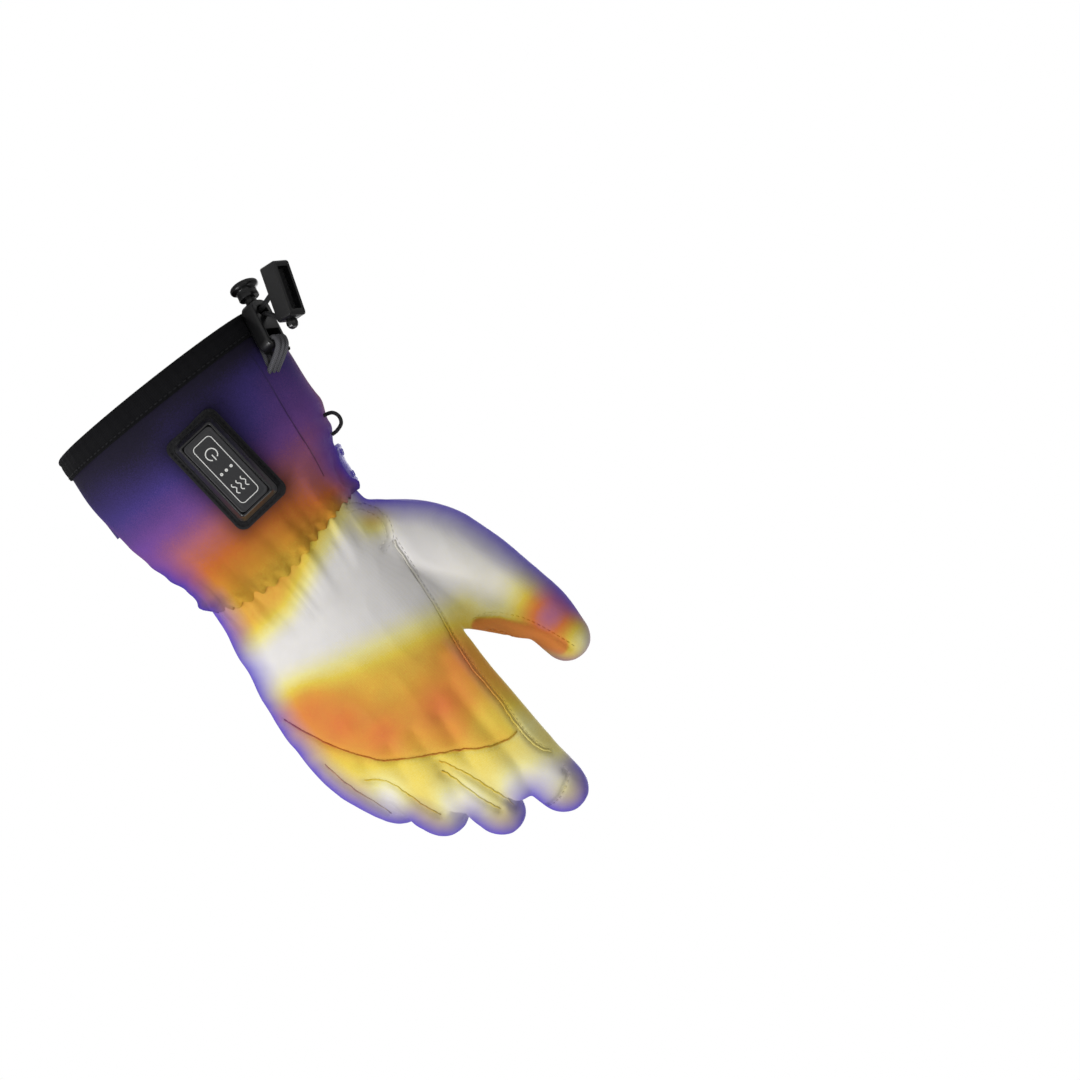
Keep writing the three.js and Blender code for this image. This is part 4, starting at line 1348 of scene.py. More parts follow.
KNUCKLES_AT = sorted(BACK_SEAMS["knuckles"])
BACK_PATCHES = [
    (46, 196, 15, 14, 0.6, 0.95), (36, 212, 16, 14, 0.585, 1.0), (22, 230, 15, 13, 0.59, 1.0),
    (-14, 238, 18, 16, 0.58, 1.0), (-36, 226, 12, 14, 0.61, 0.9), (-11, 252, 10, 8, 0.64, 0.8),
    (-30, 262, 10, 10, 0.76, 0.9), (-48, 240, 7, 12, 0.68, 0.7),
    (-36, 306, 17, 13, 0.98, 1.0), (-19, 300, 12, 12, 0.97, 1.0), (6, 290, 10, 14, 0.96, 0.95),
    (16, 286, 8, 12, 0.97, 0.9), (41, 261, 9, 13, 0.97, 1.0), (-44, 276, 8, 14, 0.9, 0.8),
    (-60, 206, 8, 8, 0.76, 0.8), (-75, 200, 16, 26, 0.98, 0.9),
    (-92, 237, 14, 12, 0.43, 0.9), (-99, 260, 10, 10, 0.9, 0.95), (-48, 133, 9, 9, 0.72, 0.8),
]
THUMB_STRIP = [(-58, 217), (-66, 223), (-74, 234), (-81, 245), (-86, 253)]
PALM_BAND = [(-36, 196), (-18, 194), (0, 189), (29, 188), (52, 181)]
PALM_PATCHES = [
    (-15, 210, 12, 9, 0.78, 0.9), (8, 215, 14, 10, 0.78, 0.9), (30, 214, 14, 11, 0.77, 0.9),
    (36, 202, 10, 8, 0.76, 0.8), (18, 240, 7, 14, 0.8, 0.8), (25, 262, 8, 12, 0.8, 0.8),
    (-8, 232, 6, 16, 0.84, 0.6), (-40, 180, 9, 10, 0.8, 0.8), (60, 178, 10, 9, 0.46, 0.9),
    (-84, 232, 12, 12, 0.84, 0.8), (-88, 249, 13, 8, 0.46, 0.95), (-92, 262, 16, 9, 0.16, 1.0),
    (46, 290, 10, 10, 0.5, 0.6),
]


def back_heat(across, along):
    """The back: amber at the wrist, white over the wires, amber again up to the knuckle seam,
    then yellow fingers with white tips."""
    wrist_end = steps_of(across, [(-45, 124), (-10, 136), (20, 148), (50, 150)])
    wrist = 1 - eased(along, wrist_end - 16, wrist_end + 8)
    heat = 1.0 + wrist * (steps_of(across, [(-50, 0.8), (-20, 0.76), (15, 0.7)]) - 1.0)
    border = 186.4 - 0.231 * across
    seam = np.interp(across, [x for x, _ in KNUCKLES_AT], [z for _, z in KNUCKLES_AT])
    past = along - seam
    amber = eased(along - border, -14, 20) * (1 - eased(past, -1, 4))
    heat = heat + amber * (0.725 - heat)
    fingers = eased(past, -1, 3)
    heat = heat + fingers * (0.8 - heat)
    heat = patched(heat, across, along, BACK_PATCHES)
    strip = 1 - eased(away_from(across, along, THUMB_STRIP), 3.4, 5.8)
    return heat + 0.9 * strip * (0.6 - heat)


def hand_heat(points, normals):
    x, y, z = (points / MM).T
    view_x = x * ACROSS.x + y * ACROSS.y
    palm = steps_of(z, [(CUFF, 0.74), (CUFF + 10, 0.8), (CUFF + 22, 0.98)])
    uneven = 1 + 0.35 * value_noise(points, 17 * MM, 29)
    band = np.exp(-(away_from(x, z, PALM_BAND) / (11 * uneven)) ** 2)
    palm = patched(palm + 0.95 * band * (0.61 - palm), x, z, PALM_PATCHES)
    side = eased(normals[:, 1], -0.25, 0.25)
    back = back_heat(view_x, z)
    return back + side * (palm - back)


def cuff_heat(points, normals):
    x, y, z = (points / MM).T
    back = steps_of(z, [
        (0, 0.04), (14, 0.1), (30, 0.17), (45, 0.23), (58, 0.29), (70, 0.38), (85, 0.52),
        (103, 0.61), (118, 0.69), (CUFF + 14, 0.72),
    ])
    palm = steps_of(z, [
        (0, 0.02), (12, 0.3), (18, 0.55), (44, 0.56), (54, 0.5), (64, 0.56), (78, 0.64),
        (95, 0.73), (CUFF, 0.8),
    ])
    side = eased(y, -16, 16)
    cool = eased(-x, 18, 62) * eased(z, 14, 34) * (1 - eased(z, 96, CUFF + 6))
    back = back + cool * 0.5 * (0.3 - back)
    heat = back + side * (palm - back)
    patch = np.exp(-((x + 52) ** 2 + (z - 84) ** 2) / 260) * (1 - side)
    heat = heat + 0.5 * patch * (0.4 - heat)
    return heat + 0.03 * value_noise(points, 28 * MM, 17)


# Painted shadow round the control: its spread in square millimetres and its darkness.
CONTROL_SHADOW_SPREAD, CONTROL_SHADOW_DARK = 90, 0.7


def cuff_shade(points):
    """How bright the cuff's colour is: dark near the hem, and a painted shadow round the control.
    """
    x, y, z = (points / MM).T
    back = steps_of(z, [
        (0, 0.5), (20, 0.55), (35, 0.66), (49, 0.82), (75, 0.85), (95, 0.92), (CUFF, 1.0),
    ])
    palm = steps_of(z, [
        (0, 0.2), (13, 0.1), (30, 0.16), (46, 0.3), (60, 0.55), (75, 0.85), (95, 1.0),
    ])
    shade = back + eased(y, -16, 16) * (palm - back)
    # A painted shadow darkens the back of the cuff round the control.
    place = np.array(CONTROL.inverted())
    local = points @ place[:3, :3].T + place[:3, 3]
    out_x = np.maximum(0, np.abs(local[:, 0]) / MM - CONTROL_WIDTH / 2)
    out_y = np.maximum(0, np.abs(local[:, 1]) / MM - CONTROL_LENGTH / 2)
    control_shadow = np.exp(-(out_x ** 2 + out_y ** 2) / CONTROL_SHADOW_SPREAD) * (y < 0)
    return shade * (1 - CONTROL_SHADOW_DARK * control_shadow)


# %% Painted rim shade along the outline
RIM_LOW, RIM_SIZE, RIM_REACH = (-130, -20), (240, 370), 18


def shifted(grid, x, z):
    return np.roll(np.roll(grid, x, 0), z, 1)


def grown(grid, corners=True):
    """A mask with its edge moved out by one cell."""
    result = grid.copy()
    for x in (-1, 0, 1):
        for z in (-1, 0, 1):
            if corners or not (x and z):
                result |= shifted(grid, x, z)
    return result


def depth_from_outline(*clouds):
    """How far each millimetre of the back view lies inside the glove's outline."""
    grid = np.zeros(RIM_SIZE, bool)
    for across, along in clouds:
        grid[(across - RIM_LOW[0]).astype(int), (along - RIM_LOW[1]).astype(int)] = True
    outside = ~grown(grown(grid))
    outside = grown(grown(outside))
    depth = np.zeros(RIM_SIZE)
    for k in range(RIM_REACH):
        depth += ~outside
        outside = grown(outside, corners=k % 2 == 0)
    for _ in range(3):
        ways = ((0, 0), (1, 0), (-1, 0), (0, 1), (0, -1))
        depth = sum(shifted(depth, *way) for way in ways) / len(ways)
    return depth


def read_grid(grid, across, along):
    """The grid's values between its cells."""
    u, v = across - RIM_LOW[0] - 0.5, along - RIM_LOW[1] - 0.5
    i, k = np.floor(u).astype(int), np.floor(v).astype(int)
    s, t = u - i, v - k
    return (
        grid[i, k] * (1 - s) * (1 - t) + grid[i + 1, k] * s * (1 - t)
        + grid[i, k + 1] * (1 - s) * t + grid[i + 1, k + 1] * s * t
    )


# Outline edges that the painted rim shade leaves out.
WARM_EDGES = [
    [(-52, 206), (-50, 250), (-50, 292)], [(-52, 206), (-75, 232), (-92, 252)],
]


def seen_place(points):
    return (points[:, 0] * ACROSS.x + points[:, 1] * ACROSS.y) / MM, points[:, 2] / MM


def outline_rim_shade(points, depth):
    """How much painted rim shade lies on each point: more near the outline the camera sees."""
    across, along = seen_place(points)
    rim = np.clip((16 - read_grid(depth, across, along)) / 15, 0, 1) ** 1.35
    for line in WARM_EDGES:
        rim = rim * eased(away_from(across, along, line), 6, 20)
    return rim * eased(along, 30, 90) * 0.97


def store(obj, name, values):
    attribute = obj.data.attributes.new(name, "FLOAT", "POINT")
    attribute.data.foreach_set("value", np.asarray(values, np.float32))


hand_points, hand_normals = points_of(hand.data), normals_of(hand.data)
soft_normals = relaxed(hand_normals, edges_of(hand.data), 6)
cuff_points = points_of(cuff.data)
rim_depth = depth_from_outline(seen_place(hand_points), seen_place(cuff_points))
# Painted shade: the colour darkens along the pressed seams, and a little along the creases.
seam_and_crease_shade = np.ones(len(hand_points))
for lines, share, width in ((seam_lines, 0.55, 0.9), (crease_lines, 0.12, 2.0)):
    for line in lines.values():
        seam_and_crease_shade -= share * nearness(hand_points, spots_of(line), width * MM)
# Painted shade: the cuff is darker in the valleys of the wrist gathers.
cuff_phi = np.arctan2(cuff_points[:, 1] / HEM_DEPTH, cuff_points[:, 0] / HEM_WIDTH)
gather_shade_depth = gathers(cuff_phi, np.minimum(CUFF, cuff_points[:, 2] / MM))
store(hand, "warmth", np.clip(hand_heat(hand_points, soft_normals), 0, 1))
# Painted rim shade: darker and more violet towards the outline as the camera sees it.
store(hand, "rim", outline_rim_shade(hand_points, rim_depth))
store(hand, "hide", eased(soft_normals[:, 1], -0.15, 0.1))
store(hand, "shade", np.clip(seam_and_crease_shade, 0.3, 1))
store(cuff, "warmth", np.clip(cuff_heat(cuff_points, normals_of(cuff.data)), 0, 1))
store(cuff, "rim", outline_rim_shade(cuff_points, rim_depth) * eased(cuff_points[:, 2] / MM, 46, 90))
store(cuff, "shade", cuff_shade(cuff_points) * np.clip(1 + 0.05 * gather_shade_depth, 0.6, 1))
# The strap's end on the thumb side takes the painted rim shade too.
strap_rim_shade = eased(-points_of(strap.data)[:, 0] / MM, 46, 56)
for made, *values in (
    (hem, 0.0, 0.45, 0), (strap, 0.9, 0.95, strap_rim_shade), (tag, 0.2, 1.0, 0),
    (zip_tape, 0.0, 0.5, 0),
):
    for name, value in zip(("warmth", "shade", "rim"), values):
        store(made, name, np.broadcast_to(value, len(made.data.vertices)))
print("heat on the hand:", round(float(hand_points[:, 2].max()) / MM), "mm high")

# %% [markdown]
# ## Finishes
# Four effects serve more than one finish, so each is a shader group with named inputs: the
# colour of heat, a woven cloth's threads, a hide's grain, and the slow unevenness that every
# used surface has. The groups give colours, masks and heights. Each finish keeps its own
# shader, and a Bump node turns its heights into relief.


# %% Shader groups
HEAT_COLOURS = [
    (0.0, (0.006, 0.006, 0.009)), (0.12, (0.022, 0.016, 0.05)), (0.24, (0.07, 0.045, 0.26)),
    (0.36, (0.22, 0.08, 0.34)), (0.48, (0.48, 0.14, 0.19)), (0.58, (0.66, 0.17, 0.028)),
    (0.68, (0.67, 0.3, 0.028)), (0.78, (0.72, 0.54, 0.055)), (0.88, (0.76, 0.69, 0.27)),
    (1.0, (0.72, 0.7, 0.69)),
]
# The colour of the painted rim shade towards the outline.
RIM_SHADE_COLOUR = (0.075, 0.04, 0.5)


def shader_group(name, inputs, outputs):
    return new_group("ShaderNodeTree", name, [*inputs, ("Place", VECTOR, None)], outputs)


def noise(tree, place, scale, detail):
    return add_node(
        tree, "ShaderNodeTexNoise", Vector=place, Scale=scale, Detail=detail
    ).outputs["Fac"]


def scaled(tree, vector, factor):
    """A colour or a place times a number."""
    return add_node(
        tree, "ShaderNodeVectorMath", {"operation": "SCALE"}, _0=vector, Scale=factor
    ).outputs["Vector"]


def heat_group():
    tree, given, result = shader_group(
        "Heat colour",
        [("Heat", FLOAT, 0.5), ("Brightness", FLOAT, 1.0), ("Speckle", FLOAT, 0.03),
         ("Rim", FLOAT, 0.0)],
        [("Colour", "NodeSocketColor")],
    )
    even = math_node(tree, "SUBTRACT", noise(tree, given["Place"], 1500.0, 2.0), 0.5)
    amount = times(tree, even, given["Speckle"])
    ramp = add_node(
        tree, "ShaderNodeValToRGB", Fac=math_node(tree, "ADD", given["Heat"], amount)
    )
    stops = ramp.color_ramp.elements
    for place, _ in HEAT_COLOURS[1:-1]:
        stops.new(place)
    for stop, (_, colour) in zip(stops, HEAT_COLOURS):
        stop.color = (*colour, 1)
    grainy = times(tree, amount, 2.0)
    # Painted rim shade, with a grain in its edge.
    rim = times_plus(tree, grainy, given["Rim"], given["Rim"])
    rimmed = add_node(
        tree, "ShaderNodeMix", {"data_type": "RGBA"}, _0=rim, _6=ramp.outputs["Color"],
        _7=(*RIM_SHADE_COLOUR, 1),
    )
    # Brightness darkens the colour with painted shade along seams, creases and gathers and a
    # painted shadow round the control, and sets each piece's own tone.
    tree.links.new(scaled(tree, rimmed.outputs[2], given["Brightness"]), result["Colour"])
    return tree


def weave_group():
    """Plain weave: each thread bulges where it passes over the other."""
    tree, given, result = shader_group(
        "Woven threads", [("Threads", FLOAT, 1.0)], [("Height", FLOAT), ("Gaps", FLOAT)]
    )
    place = scaled(tree, given["Place"], given["Threads"])
    parts = add_node(tree, "ShaderNodeSeparateXYZ", Vector=place).outputs
    waves = [math_node(tree, "SINE", times(tree, parts[i], math.pi)) for i in (0, 1)]
    over = math_node(tree, "GREATER_THAN", times(tree, *waves), 0.0)
    warp, weft = (math_node(tree, "ABSOLUTE", w) for w in waves)
    round_warp, round_weft = (math_node(tree, "POWER", w, 0.35) for w in (warp, weft))
    down = times(tree, round_warp, weft)
    gap = math_node(tree, "SUBTRACT", times(tree, warp, round_weft), down)
    height = times_plus(tree, over, gap, down)
    tree.links.new(height, result["Height"])
    tree.links.new(math_node(tree, "SUBTRACT", 1.0, height), result["Gaps"])
    return tree


def grain_group():
    """Hide: round cells with fine creases between them, over slow wrinkles."""
    tree, given, result = shader_group(
        "Hide grain", [("Cells", FLOAT, 900.0)], [("Height", FLOAT)]
    )
    cells = add_node(
        tree, "ShaderNodeTexVoronoi", {"feature": "SMOOTH_F1"},
        Vector=given["Place"], Scale=given["Cells"], Smoothness=0.35,
    )
    domes = math_node(tree, "SUBTRACT", 0.8, cells.outputs["Distance"])
    fine = noise(tree, given["Place"], 420.0, 4.0)
    tree.links.new(times_plus(tree, fine, 0.8, domes), result["Height"])
    return tree


def uneven_group():
    """A slow and a fine unevenness around one, for roughness and colour."""
    tree, given, result = shader_group(
        "Uneven", [("Size", FLOAT, 60.0), ("Amount", FLOAT, 0.2)],
        [("Factor", FLOAT), ("Height", FLOAT)],
    )
    slow = noise(tree, given["Place"], given["Size"], 5.0)
    twice = times(tree, math_node(tree, "SUBTRACT", slow, 0.5), 2.0)
    tree.links.new(times_plus(tree, twice, given["Amount"], 1.0), result["Factor"])
    tree.links.new(slow, result["Height"])
    return tree


HEAT, WEAVE, GRAIN, UNEVEN = heat_group(), weave_group(), grain_group(), uneven_group()
print("shader groups:", [t.name for t in (HEAT, WEAVE, GRAIN, UNEVEN)])

# %% Finish helpers
def new_finish(name, **values):
    """A material with one Principled shader and its plain values, and the object's places."""
    material = bpy.data.materials.new(name)
    material.use_nodes = True
    tree = material.node_tree
    for key, value in values.items():
        tree.nodes["Principled BSDF"].inputs[key.replace("_", " ")].default_value = value
    return material, tree, add_node(tree, "ShaderNodeTexCoord").outputs["Object"]


def finished(material, colour, rough, height, distance):
    """Gives a finish its colour, its roughness and the relief of a height in metres."""
    tree = material.node_tree
    relief = add_node(tree, "ShaderNodeBump", Height=height, Distance=distance, Strength=1.0)
    shader = tree.nodes["Principled BSDF"].inputs
    tree.links.new(colour, shader["Base Color"])
    tree.links.new(rough, shader["Roughness"])
    tree.links.new(relief.outputs["Normal"], shader["Normal"])
    return material


def group(tree, kind, **values):
    return add_node(tree, "ShaderNodeGroup", {"node_tree": kind}, **values).outputs


def attribute(tree, name):
    return add_node(tree, "ShaderNodeAttribute", {"attribute_name": name}).outputs["Fac"]


def heat_colour(tree, place, speckle):
    """The colour of the warmth, shade and painted rim shade that the points carry."""
    return group(
        tree, HEAT, Heat=attribute(tree, "warmth"), Brightness=attribute(tree, "shade"),
        Rim=attribute(tree, "rim"), Speckle=speckle, Place=place,
    )["Colour"]


def uneven(tree, place, size, amount):
    return group(tree, UNEVEN, Place=place, Size=size, Amount=amount)


def uv_place(tree):
    return add_node(tree, "ShaderNodeUVMap", {"uv_map": "UVMap"}).outputs["UV"]


def woven_place(tree, place):
    """Flat coordinates for a weave that needs no UV map: round the glove, and up it."""
    parts = add_node(tree, "ShaderNodeSeparateXYZ", Vector=place).outputs
    return add_node(
        tree, "ShaderNodeCombineXYZ", X=times_plus(tree, parts["Y"], 0.9, parts["X"]), Y=parts["Z"]
    ).outputs["Vector"]


print("finish helpers ready")

# %% Cloth and hide finishes
def hand_finish():
    """Woven cloth on the back and grained hide on the palm, in one skin."""
    material, tree, place = new_finish("hand cloth and hide", Sheen_Weight=0.05)
    hide = attribute(tree, "hide")
    weave = group(tree, WEAVE, Place=woven_place(tree, place), Threads=950.0)
    grain = group(tree, GRAIN, Place=place, Cells=850.0)
    slow = uneven(tree, place, 70.0, 0.1)["Factor"]
    gaps = times(tree, weave["Gaps"], math_node(tree, "SUBTRACT", 1.0, hide))
    # Painted shade in the gaps between the back's threads, times a slow unevenness of tone.
    dark = times(tree, times_plus(tree, gaps, -0.05, 1.0), slow)
    rough = times(tree, times_plus(tree, hide, -0.36, 0.78), slow)
    both = add_node(
        tree, "ShaderNodeMix", {"data_type": "FLOAT"}, Factor=hide,
        A=times(tree, weave["Height"], 0.08), B=grain["Height"],
    )
    colour = scaled(tree, heat_colour(tree, place, 0.09), dark)
    return finished(material, colour, rough, both.outputs["Result"], 0.00022)


def heat_cloth(name, threads, speckle, rough, distance, dark=0.4):
    """A woven cloth in the colour of its heat."""
    material, tree, place = new_finish(name, Specular_IOR_Level=0.2)
    weave = group(tree, WEAVE, Place=uv_place(tree), Threads=threads)
    slow = uneven(tree, place, 50.0, 0.15)["Factor"]
    # Painted shade in the gaps between threads, as deep as dark, times a slow unevenness of tone.
    shade = times(tree, times_plus(tree, weave["Gaps"], -dark, 1.0), slow)
    colour = scaled(tree, heat_colour(tree, place, speckle), shade)
    return finished(material, colour, times(tree, slow, rough), weave["Height"], distance)


hand_material = hand_finish()
cuff_material = heat_cloth("cuff softshell", 1.4, 0.12, 0.8, 0.00012, dark=0.2)
hem_material = heat_cloth("hem binding", 0.9, 0.02, 0.85, 0.00025)
tag_material = heat_cloth("woven tag", 1.6, 0.03, 0.6, 0.0001)
tape_material = heat_cloth("zip tape", 1.5, 0.02, 0.8, 0.0002)
print("cloths:", [m.name for m in (hand_material, cuff_material, hem_material)])

# %% Strap, hook, cord and webbing finishes
def strap_finish():
    material, tree, place = new_finish("moulded strap end", Coat_Weight=0.25, Coat_Roughness=0.3)
    slow = uneven(tree, place, 120.0, 0.12)["Factor"]
    fine = uneven(tree, place, 900.0, 0.1)["Height"]
    colour = scaled(tree, heat_colour(tree, place, 0.03), slow)
    return finished(material, colour, times(tree, slow, 0.38), fine, 0.00008)


def plain_woven(name, colour, threads, rough, distance, uv=True):
    """A coarse weave of one colour, such as webbing."""
    material, tree, place = new_finish(name, Specular_IOR_Level=0.3)
    flat = uv_place(tree) if uv else woven_place(tree, place)
    weave = group(tree, WEAVE, Place=flat, Threads=threads)
    slow = uneven(tree, place, 160.0, 0.25)["Factor"]
    # Painted highlight on the thread crests and painted shade in the gaps, times a slow unevenness
    # of tone.
    shade = times(tree, times_plus(tree, weave["Gaps"], -0.55, 1.25), slow)
    return finished(
        material, scaled(tree, colour, shade), times(tree, slow, rough), weave["Height"], distance
    )


def hook_finish():
    material, tree, place = new_finish("hook fabric", Sheen_Weight=0.2)
    loops = add_node(tree, "ShaderNodeTexVoronoi", Vector=place, Scale=1100.0).outputs["Distance"]
    slow = uneven(tree, place, 300.0, 0.3)["Factor"]
    # Painted highlight on the hooks' tops and painted shade between them, times a slow unevenness
    # of tone.
    colour = scaled(
        tree, (0.4, 0.2, 0.05), times(tree, times_plus(tree, loops, -0.9, 1.3), slow)
    )
    height = math_node(tree, "SUBTRACT", 1.0, loops)
    return finished(material, colour, times(tree, slow, 0.8), height, 0.0004)


def cord_finish(name, colour):
    """A braid: strands that cross each other slantwise round the cord."""
    material, tree, place = new_finish(name, Specular_IOR_Level=0.4)
    parts = add_node(tree, "ShaderNodeSeparateXYZ", Vector=uv_place(tree)).outputs
    across = times(tree, parts["X"], 8 / (math.pi * CORD_DIAMETER))
    along = times(tree, parts["Y"], 0.9)
    slant = add_node(
        tree, "ShaderNodeCombineXYZ", X=math_node(tree, "ADD", across, along),
        Y=math_node(tree, "SUBTRACT", across, along),
    )
    weave = group(tree, WEAVE, Place=slant.outputs["Vector"], Threads=1.0)
    slow = uneven(tree, place, 400.0, 0.25)["Factor"]
    # Painted highlight on the strands' crests and painted shade between them.
    shade = math_node(tree, "MAXIMUM", times_plus(tree, weave["Gaps"], -1.3, 1.6), 0.15)
    colour = scaled(tree, colour, times(tree, shade, slow))
    return finished(material, colour, times(tree, slow, 0.7), weave["Height"], 0.00035)


strap_material = strap_finish()
hook_material = hook_finish()
cord_material = cord_finish("braided cord", (0.018, 0.018, 0.02))
anchor_material = cord_finish("anchor braid", (0.1, 0.1, 0.11))
base_material = plain_woven("control base weave", (0.02, 0.02, 0.022), 1.1, 0.85, 0.0003)
print("straps and cords:", [m.name for m in (strap_material, hook_material, cord_material)])

# %% Plastic and metal finishes
def plastic_finish(name, colour, rough, relief, size, coat=0.0):
    """Moulded plastic: fine spark relief and slow differences of gloss."""
    material, tree, place = new_finish(
        name, Coat_Weight=coat, Coat_Roughness=0.15, Specular_IOR_Level=0.35
    )
    slow = uneven(tree, place, 90.0, 0.3)["Factor"]
    fine = uneven(tree, place, size, 0.3)
    colour = scaled(tree, colour, fine["Factor"])
    return finished(material, colour, times(tree, slow, rough), fine["Height"], relief)


def metal_finish():
    """Dark plated metal with fine polishing lines and rubbed spots."""
    material, tree, place = new_finish("dark plated metal", Metallic=1.0)
    lines = add_node(tree, "ShaderNodeMapping", Vector=place, Scale=(4000, 500, 4000))
    fine = noise(tree, lines.outputs["Vector"], 1.0, 2.0)
    colour = scaled(tree, (0.33, 0.3, 0.27), uneven(tree, place, 350.0, 0.5)["Factor"])
    return finished(material, colour, times_plus(tree, fine, 0.2, 0.2), fine, 0.00002)


black_plastic, housing_plastic, membrane_plastic, print_ink, tooth_plastic = (
    plastic_finish(*row) for row in (
        ("black moulded plastic", (0.006, 0.006, 0.0065), 0.3, 0.00002, 1500, 0.2),
        ("control housing plastic", (0.013, 0.013, 0.014), 0.3, 0.00002, 1800, 0.3),
        ("membrane", (0.03, 0.03, 0.032), 0.4, 0.00002, 2500),
        ("pale print", (0.72, 0.72, 0.7), 0.5, 0.00001, 2500),
        ("zip teeth", (0.03, 0.022, 0.018), 0.4, 0.00002, 1500),
    )
)
metal = metal_finish()
dark_thread, pale_thread = (
    plain_woven(name, colour, 2200.0, 0.7, 0.00008, uv=False)
    for name, colour in (
        ("dark thread", (0.006, 0.006, 0.008)), ("pale thread", (0.6, 0.58, 0.72)),
    )
)
print("hard finishes:", [m.name for m in (black_plastic, housing_plastic, metal)])

# %% Thread that takes the heat of what it is sewn to
def thread_finish():
    material, tree, place = new_finish("warm thread", Specular_IOR_Level=0.2)
    twist = group(tree, WEAVE, Place=woven_place(tree, place), Threads=3000.0)["Height"]
    rough = times(tree, uneven(tree, place, 400.0, 0.2)["Factor"], 0.6)
    return finished(material, heat_colour(tree, place, 0.02), rough, twist, 0.00008)


warm_thread = thread_finish()

# %% [markdown]
# ## Seams, stitches and teeth
# Every seam line lies on the finished skin. A run of stitches goes along one side of it or
# along both, so each line is first moved sideways on the skin. Geometry Nodes then grow the
# stitches, and the thread takes the heat of the cloth beneath it.


# %% Stitches
def aside(tree, line, shift, lift=0.15):
    """A line moved sideways on the skin, and lifted a little out of it."""
    moved = []
    places = spots_of(line)
    for i, (point, normal) in enumerate(line):
        side = way_at(places, i).cross(normal).normalized()
        place, out, _, _ = tree.find_nearest(point + side * shift * MM)
        moved.append((place + out * lift * MM, out))
    return moved


def take_heat(obj, source, tree):
    """Gives an object the heat and shade of the nearest points of another."""
    faces = source.data.polygons
    nearest = [faces[tree.find_nearest(v.co)[2]].vertices[0] for v in obj.data.vertices]
    for name in ("warmth", "shade", "rim"):
        values = read_values(source.data.attributes[name].data, "value")
        store(obj, name, values[nearest])


def stitches(name, lines, pitch, length, thickness, finish):
    """Runs of stitches of a pitch, a length and a thickness in millimetres."""
    sizes = {"Pitch": pitch * MM, "Length": length * MM, "Thickness": thickness * MM}
    return grown_from(name, lines, STITCHES, finish, **sizes)


hand_tree, cuff_tree, hem_tree = skin_tree(hand), skin_tree(cuff), skin_tree(hem)
ONE_SIDE, BOTH_SIDES = (-1.6,), (-1.5, 1.5)
hand_stitches = stitches("hand_stitches", [
    aside(hand_tree, line, side)
    for name, line in seam_lines.items() if name != "knuckles"
    for side in (BOTH_SIDES if name in ("finger_roots", "patch") else ONE_SIDE)
], 3.1, 2.3, 0.7, warm_thread)
take_heat(hand_stitches, hand, hand_tree)

HEM_RUN, RUN_REACH = 11.2, 12
hem_run = []
for phi in spaced(0, 2 * math.pi, 261):
    start = skin_point(phi, HEM_RUN, RUN_REACH)
    toward = (skin_point(phi, HEM_RUN, 0) - start).normalized()
    start.z -= hem_droop(phi, HEM_RUN) * MM
    place, out = hem_tree.ray_cast(start, toward)[:2]
    if place is not None:
        hem_run.append((place + out * 0.1 * MM, out))
hem_stitches = stitches("hem_stitches", [hem_run], 3.4, 2.6, 0.9, dark_thread)

TAG_INSET, TAG_FROM, TAG_TO = 1.6, 0.16, 0.88
inset = TAG_LENGTH / 2 - TAG_INSET
border = [(t, inset) for t in spaced(TAG_FROM, TAG_TO, 11)]
border += [(TAG_TO, y) for y in spaced(inset, -inset, 21)[1:-1]]
border += [(t, -inset) for t in spaced(TAG_TO, TAG_FROM, 11)]
tag_run = [(tag_place(t, y, TAG_THICKNESS / 2 + 0.1), LOOK) for t, y in border]
tag_stitches = stitches("tag_stitches", [tag_run], 2.2, 1.8, 0.6, pale_thread)

BASE_RUN = 2.5
outline = rounded_outline(CONTROL_WIDTH + 2 * BASE_RUN, CONTROL_LENGTH + 2 * BASE_RUN, 4, 21)
control_up = (CONTROL.to_3x3() @ UP).normalized()
base_run = [
    (placed(CONTROL, x, y, BASE_THICKNESS - 0.15), control_up)
    for x, y in outline + outline[:3]
]
base_stitches = stitches("control_base_stitches", [base_run], 3.0, 2.2, 0.8, dark_thread)
zip_teeth = grown_from(
    "zip_teeth", [zip_path], TEETH, tooth_plastic,
    Pitch=0.0011, Width=0.0026, Thickness=0.0011, Shift=0.0007,
)
beside = ZIP_WIDTH / 2 - 1.1
zip_stitches = stitches(
    "zip_stitches", [zip_line(0.01, shift, 0.05) for shift in (-beside, beside)],
    3.0, 2.2, 0.7, dark_thread,
)
print("stitches and teeth:", [len(o.data.polygons) for o in (hand_stitches, zip_teeth)], "faces")

# %% Seam rolls
CUFF_SEAM = [(-52, 20), (-50.5, 36.5), (-47, 62), (-44.7, 83), (-42, 98)]


def seam_rolls(name, lines, tree, source, radius, lift, warmth, shade):
    """Thin round ridges along seams, as turned-in cloth makes. They have a share of the cloth's
    warmth and their own shade."""
    rolls = add_object(name, joined([
        tube_mesh([p + n * lift * MM for p, n in aside(tree, line, 0, 0)], radius * MM, 8, 0.55)
        for line in lines
    ]))
    take_heat(rolls, source, tree)
    heat, dark = (rolls.data.attributes[key].data for key in ("warmth", "shade"))
    heat.foreach_set("value", read_values(heat, "value") * np.float32(warmth))
    dark.foreach_set("value", np.full(len(dark), shade, np.float32))
    return rolls


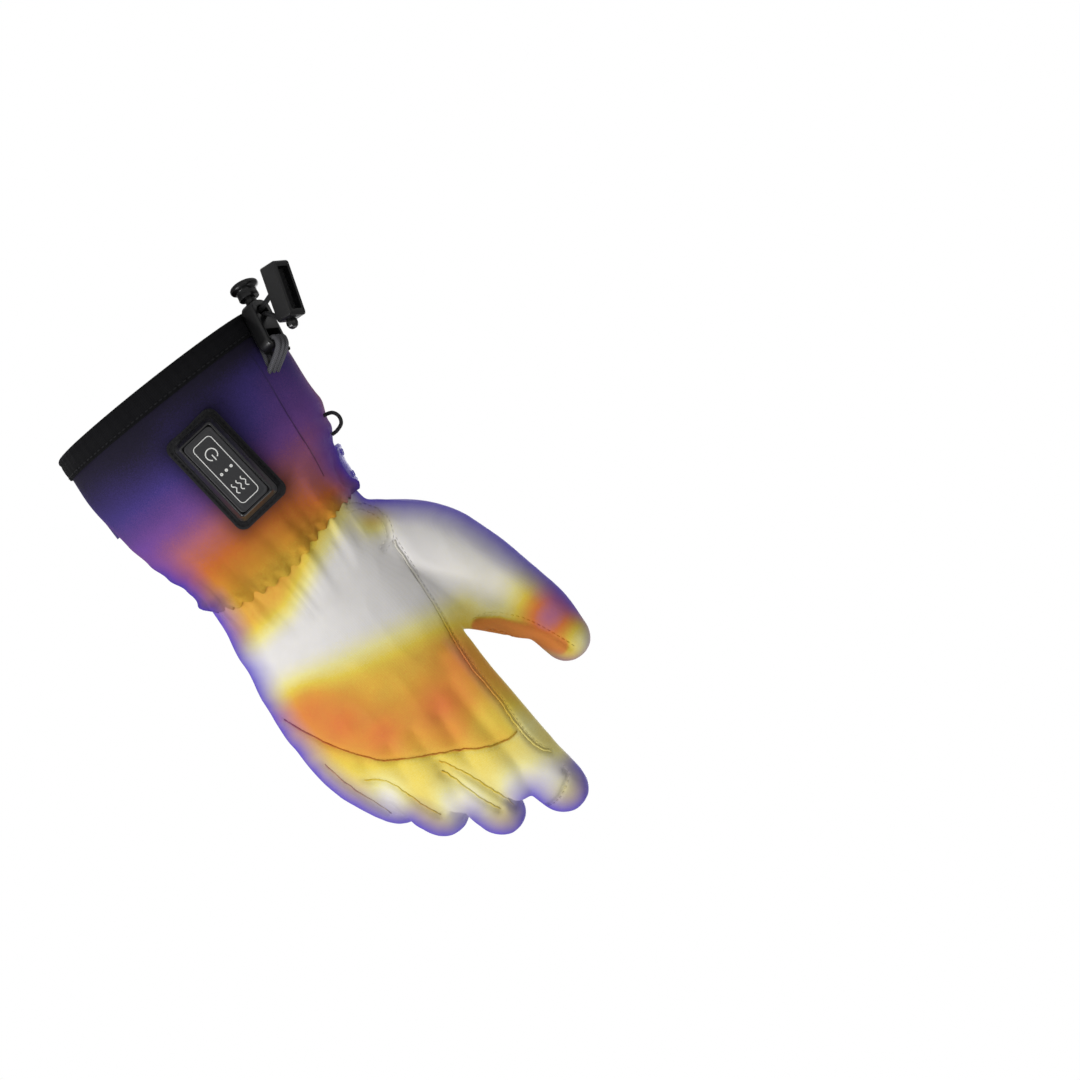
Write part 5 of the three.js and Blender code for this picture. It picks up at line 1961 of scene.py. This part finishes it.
piping, knuckle_roll, finger_rolls, cuff_rolls = (
    seam_rolls(*row) for row in (
        ("back_piping", [back_lines["piping"]], hand_tree, hand, 0.6, 0.35, 0.98, 1.0),
        ("knuckle_seam_roll", [back_lines["knuckles"]], hand_tree, hand, 0.5, 0.0, 0.9, 0.68),
        ("finger_seam_rolls", crease_lines.values(), hand_tree, hand, 0.5, 0.0, 0.93, 0.95),
        ("cuff_seam_roll", [seam_line(cuff_tree, CUFF_SEAM, on_back)], cuff_tree, cuff,
         0.4, 0.0, 1.0, 0.35),
    )
)
print("seam rolls:", len(piping.data.polygons), len(finger_rolls.data.polygons))

# %% [markdown]
# ## Each piece on its body
# The cloth and the hard pieces ride on the glove's body. The cord lock's plunger and the zip's
# pull tab move on their own, so they ride on their own bodies. Each piece says which solid it
# stands for and which finish of the record it takes.

# %% Pieces, bodies and finishes
PIECES = [
    (hand, hand_material, "glove", ("hand_shell",), "shell"),
    (hand_stitches, None, "glove", (), "shell"),
    (piping, warm_thread, "glove", (), "shell"),
    (knuckle_roll, warm_thread, "glove", (), "shell"),
    (finger_rolls, warm_thread, "glove", (), "shell"),
    (cuff_rolls, warm_thread, "glove", (), "cuff"),
    (cuff, cuff_material, "glove", ("cuff",), "cuff"),
    (hem, hem_material, "glove", ("hem_band",), "hem"),
    (hem_stitches, None, "glove", (), "hem"),
    (base, base_material, "glove", ("box_base",), "webbing"),
    (base_stitches, None, "glove", (), "webbing"),
    (housing, housing_plastic, "glove", ("control_box",), "plastic"),
    (pad, membrane_plastic, "glove", ("control_pad",), "pad"),
    (pad_print, print_ink, "glove", (), "pad"),
    (anchor_cords, anchor_material, "glove", ("anchor_loop",), "webbing"),
    (lock_body, black_plastic, "glove", ("cord_lock",), "plastic"),
    (plunger, black_plastic, "plunger", ("lock_plunger",), "plastic"),
    (drawcord, cord_material, "glove", ("drawcord",), "cord"),
    (pull_body, black_plastic, "glove", ("cord_pull",), "plastic"),
    (strap, strap_material, "glove", ("strap",), "strap"),
    (hook_pad, hook_material, "glove", ("strap_pad",), "hook"),
    (zip_tape, tape_material, "glove", ("zip_tape",), "tape"),
    (zip_teeth, None, "glove", (), "tape"),
    (zip_stitches, None, "glove", (), "tape"),
    (slider, metal, "glove", ("zip_slider",), "metal"),
    (pull_tab, metal, "zip_tab", ("zip_pull",), "metal"),
    (tag, tag_material, "glove", ("side_tag",), "tag"),
    (tag_stitches, None, "glove", (), "tag"),
    (hang_loop, cord_material, "glove", ("hang_loop",), "cord"),
]
for obj, material, body, nodes, slot in PIECES:
    if material is not None:
        obj.data.materials.clear()
        obj.data.materials.append(material)
    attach(obj, body)
    if nodes:
        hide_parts(*nodes)
print("pieces:", len(PIECES))

# %% Floor
FLOOR_HEIGHT, FLOOR_SIZE = cad_low.z - 0.002, 4.0
floor = add_object("floor", mesh_from([
    (x * FLOOR_SIZE, y * FLOOR_SIZE, FLOOR_HEIGHT) for x, y in ((-1, -1), (1, -1), (1, 1), (-1, 1))
], [(0, 1, 2, 3)]))
floor.data.materials.append(
    new_finish("pale floor", Roughness=0.9, Base_Color=(0.86, 0.86, 0.86, 1))[0]
)
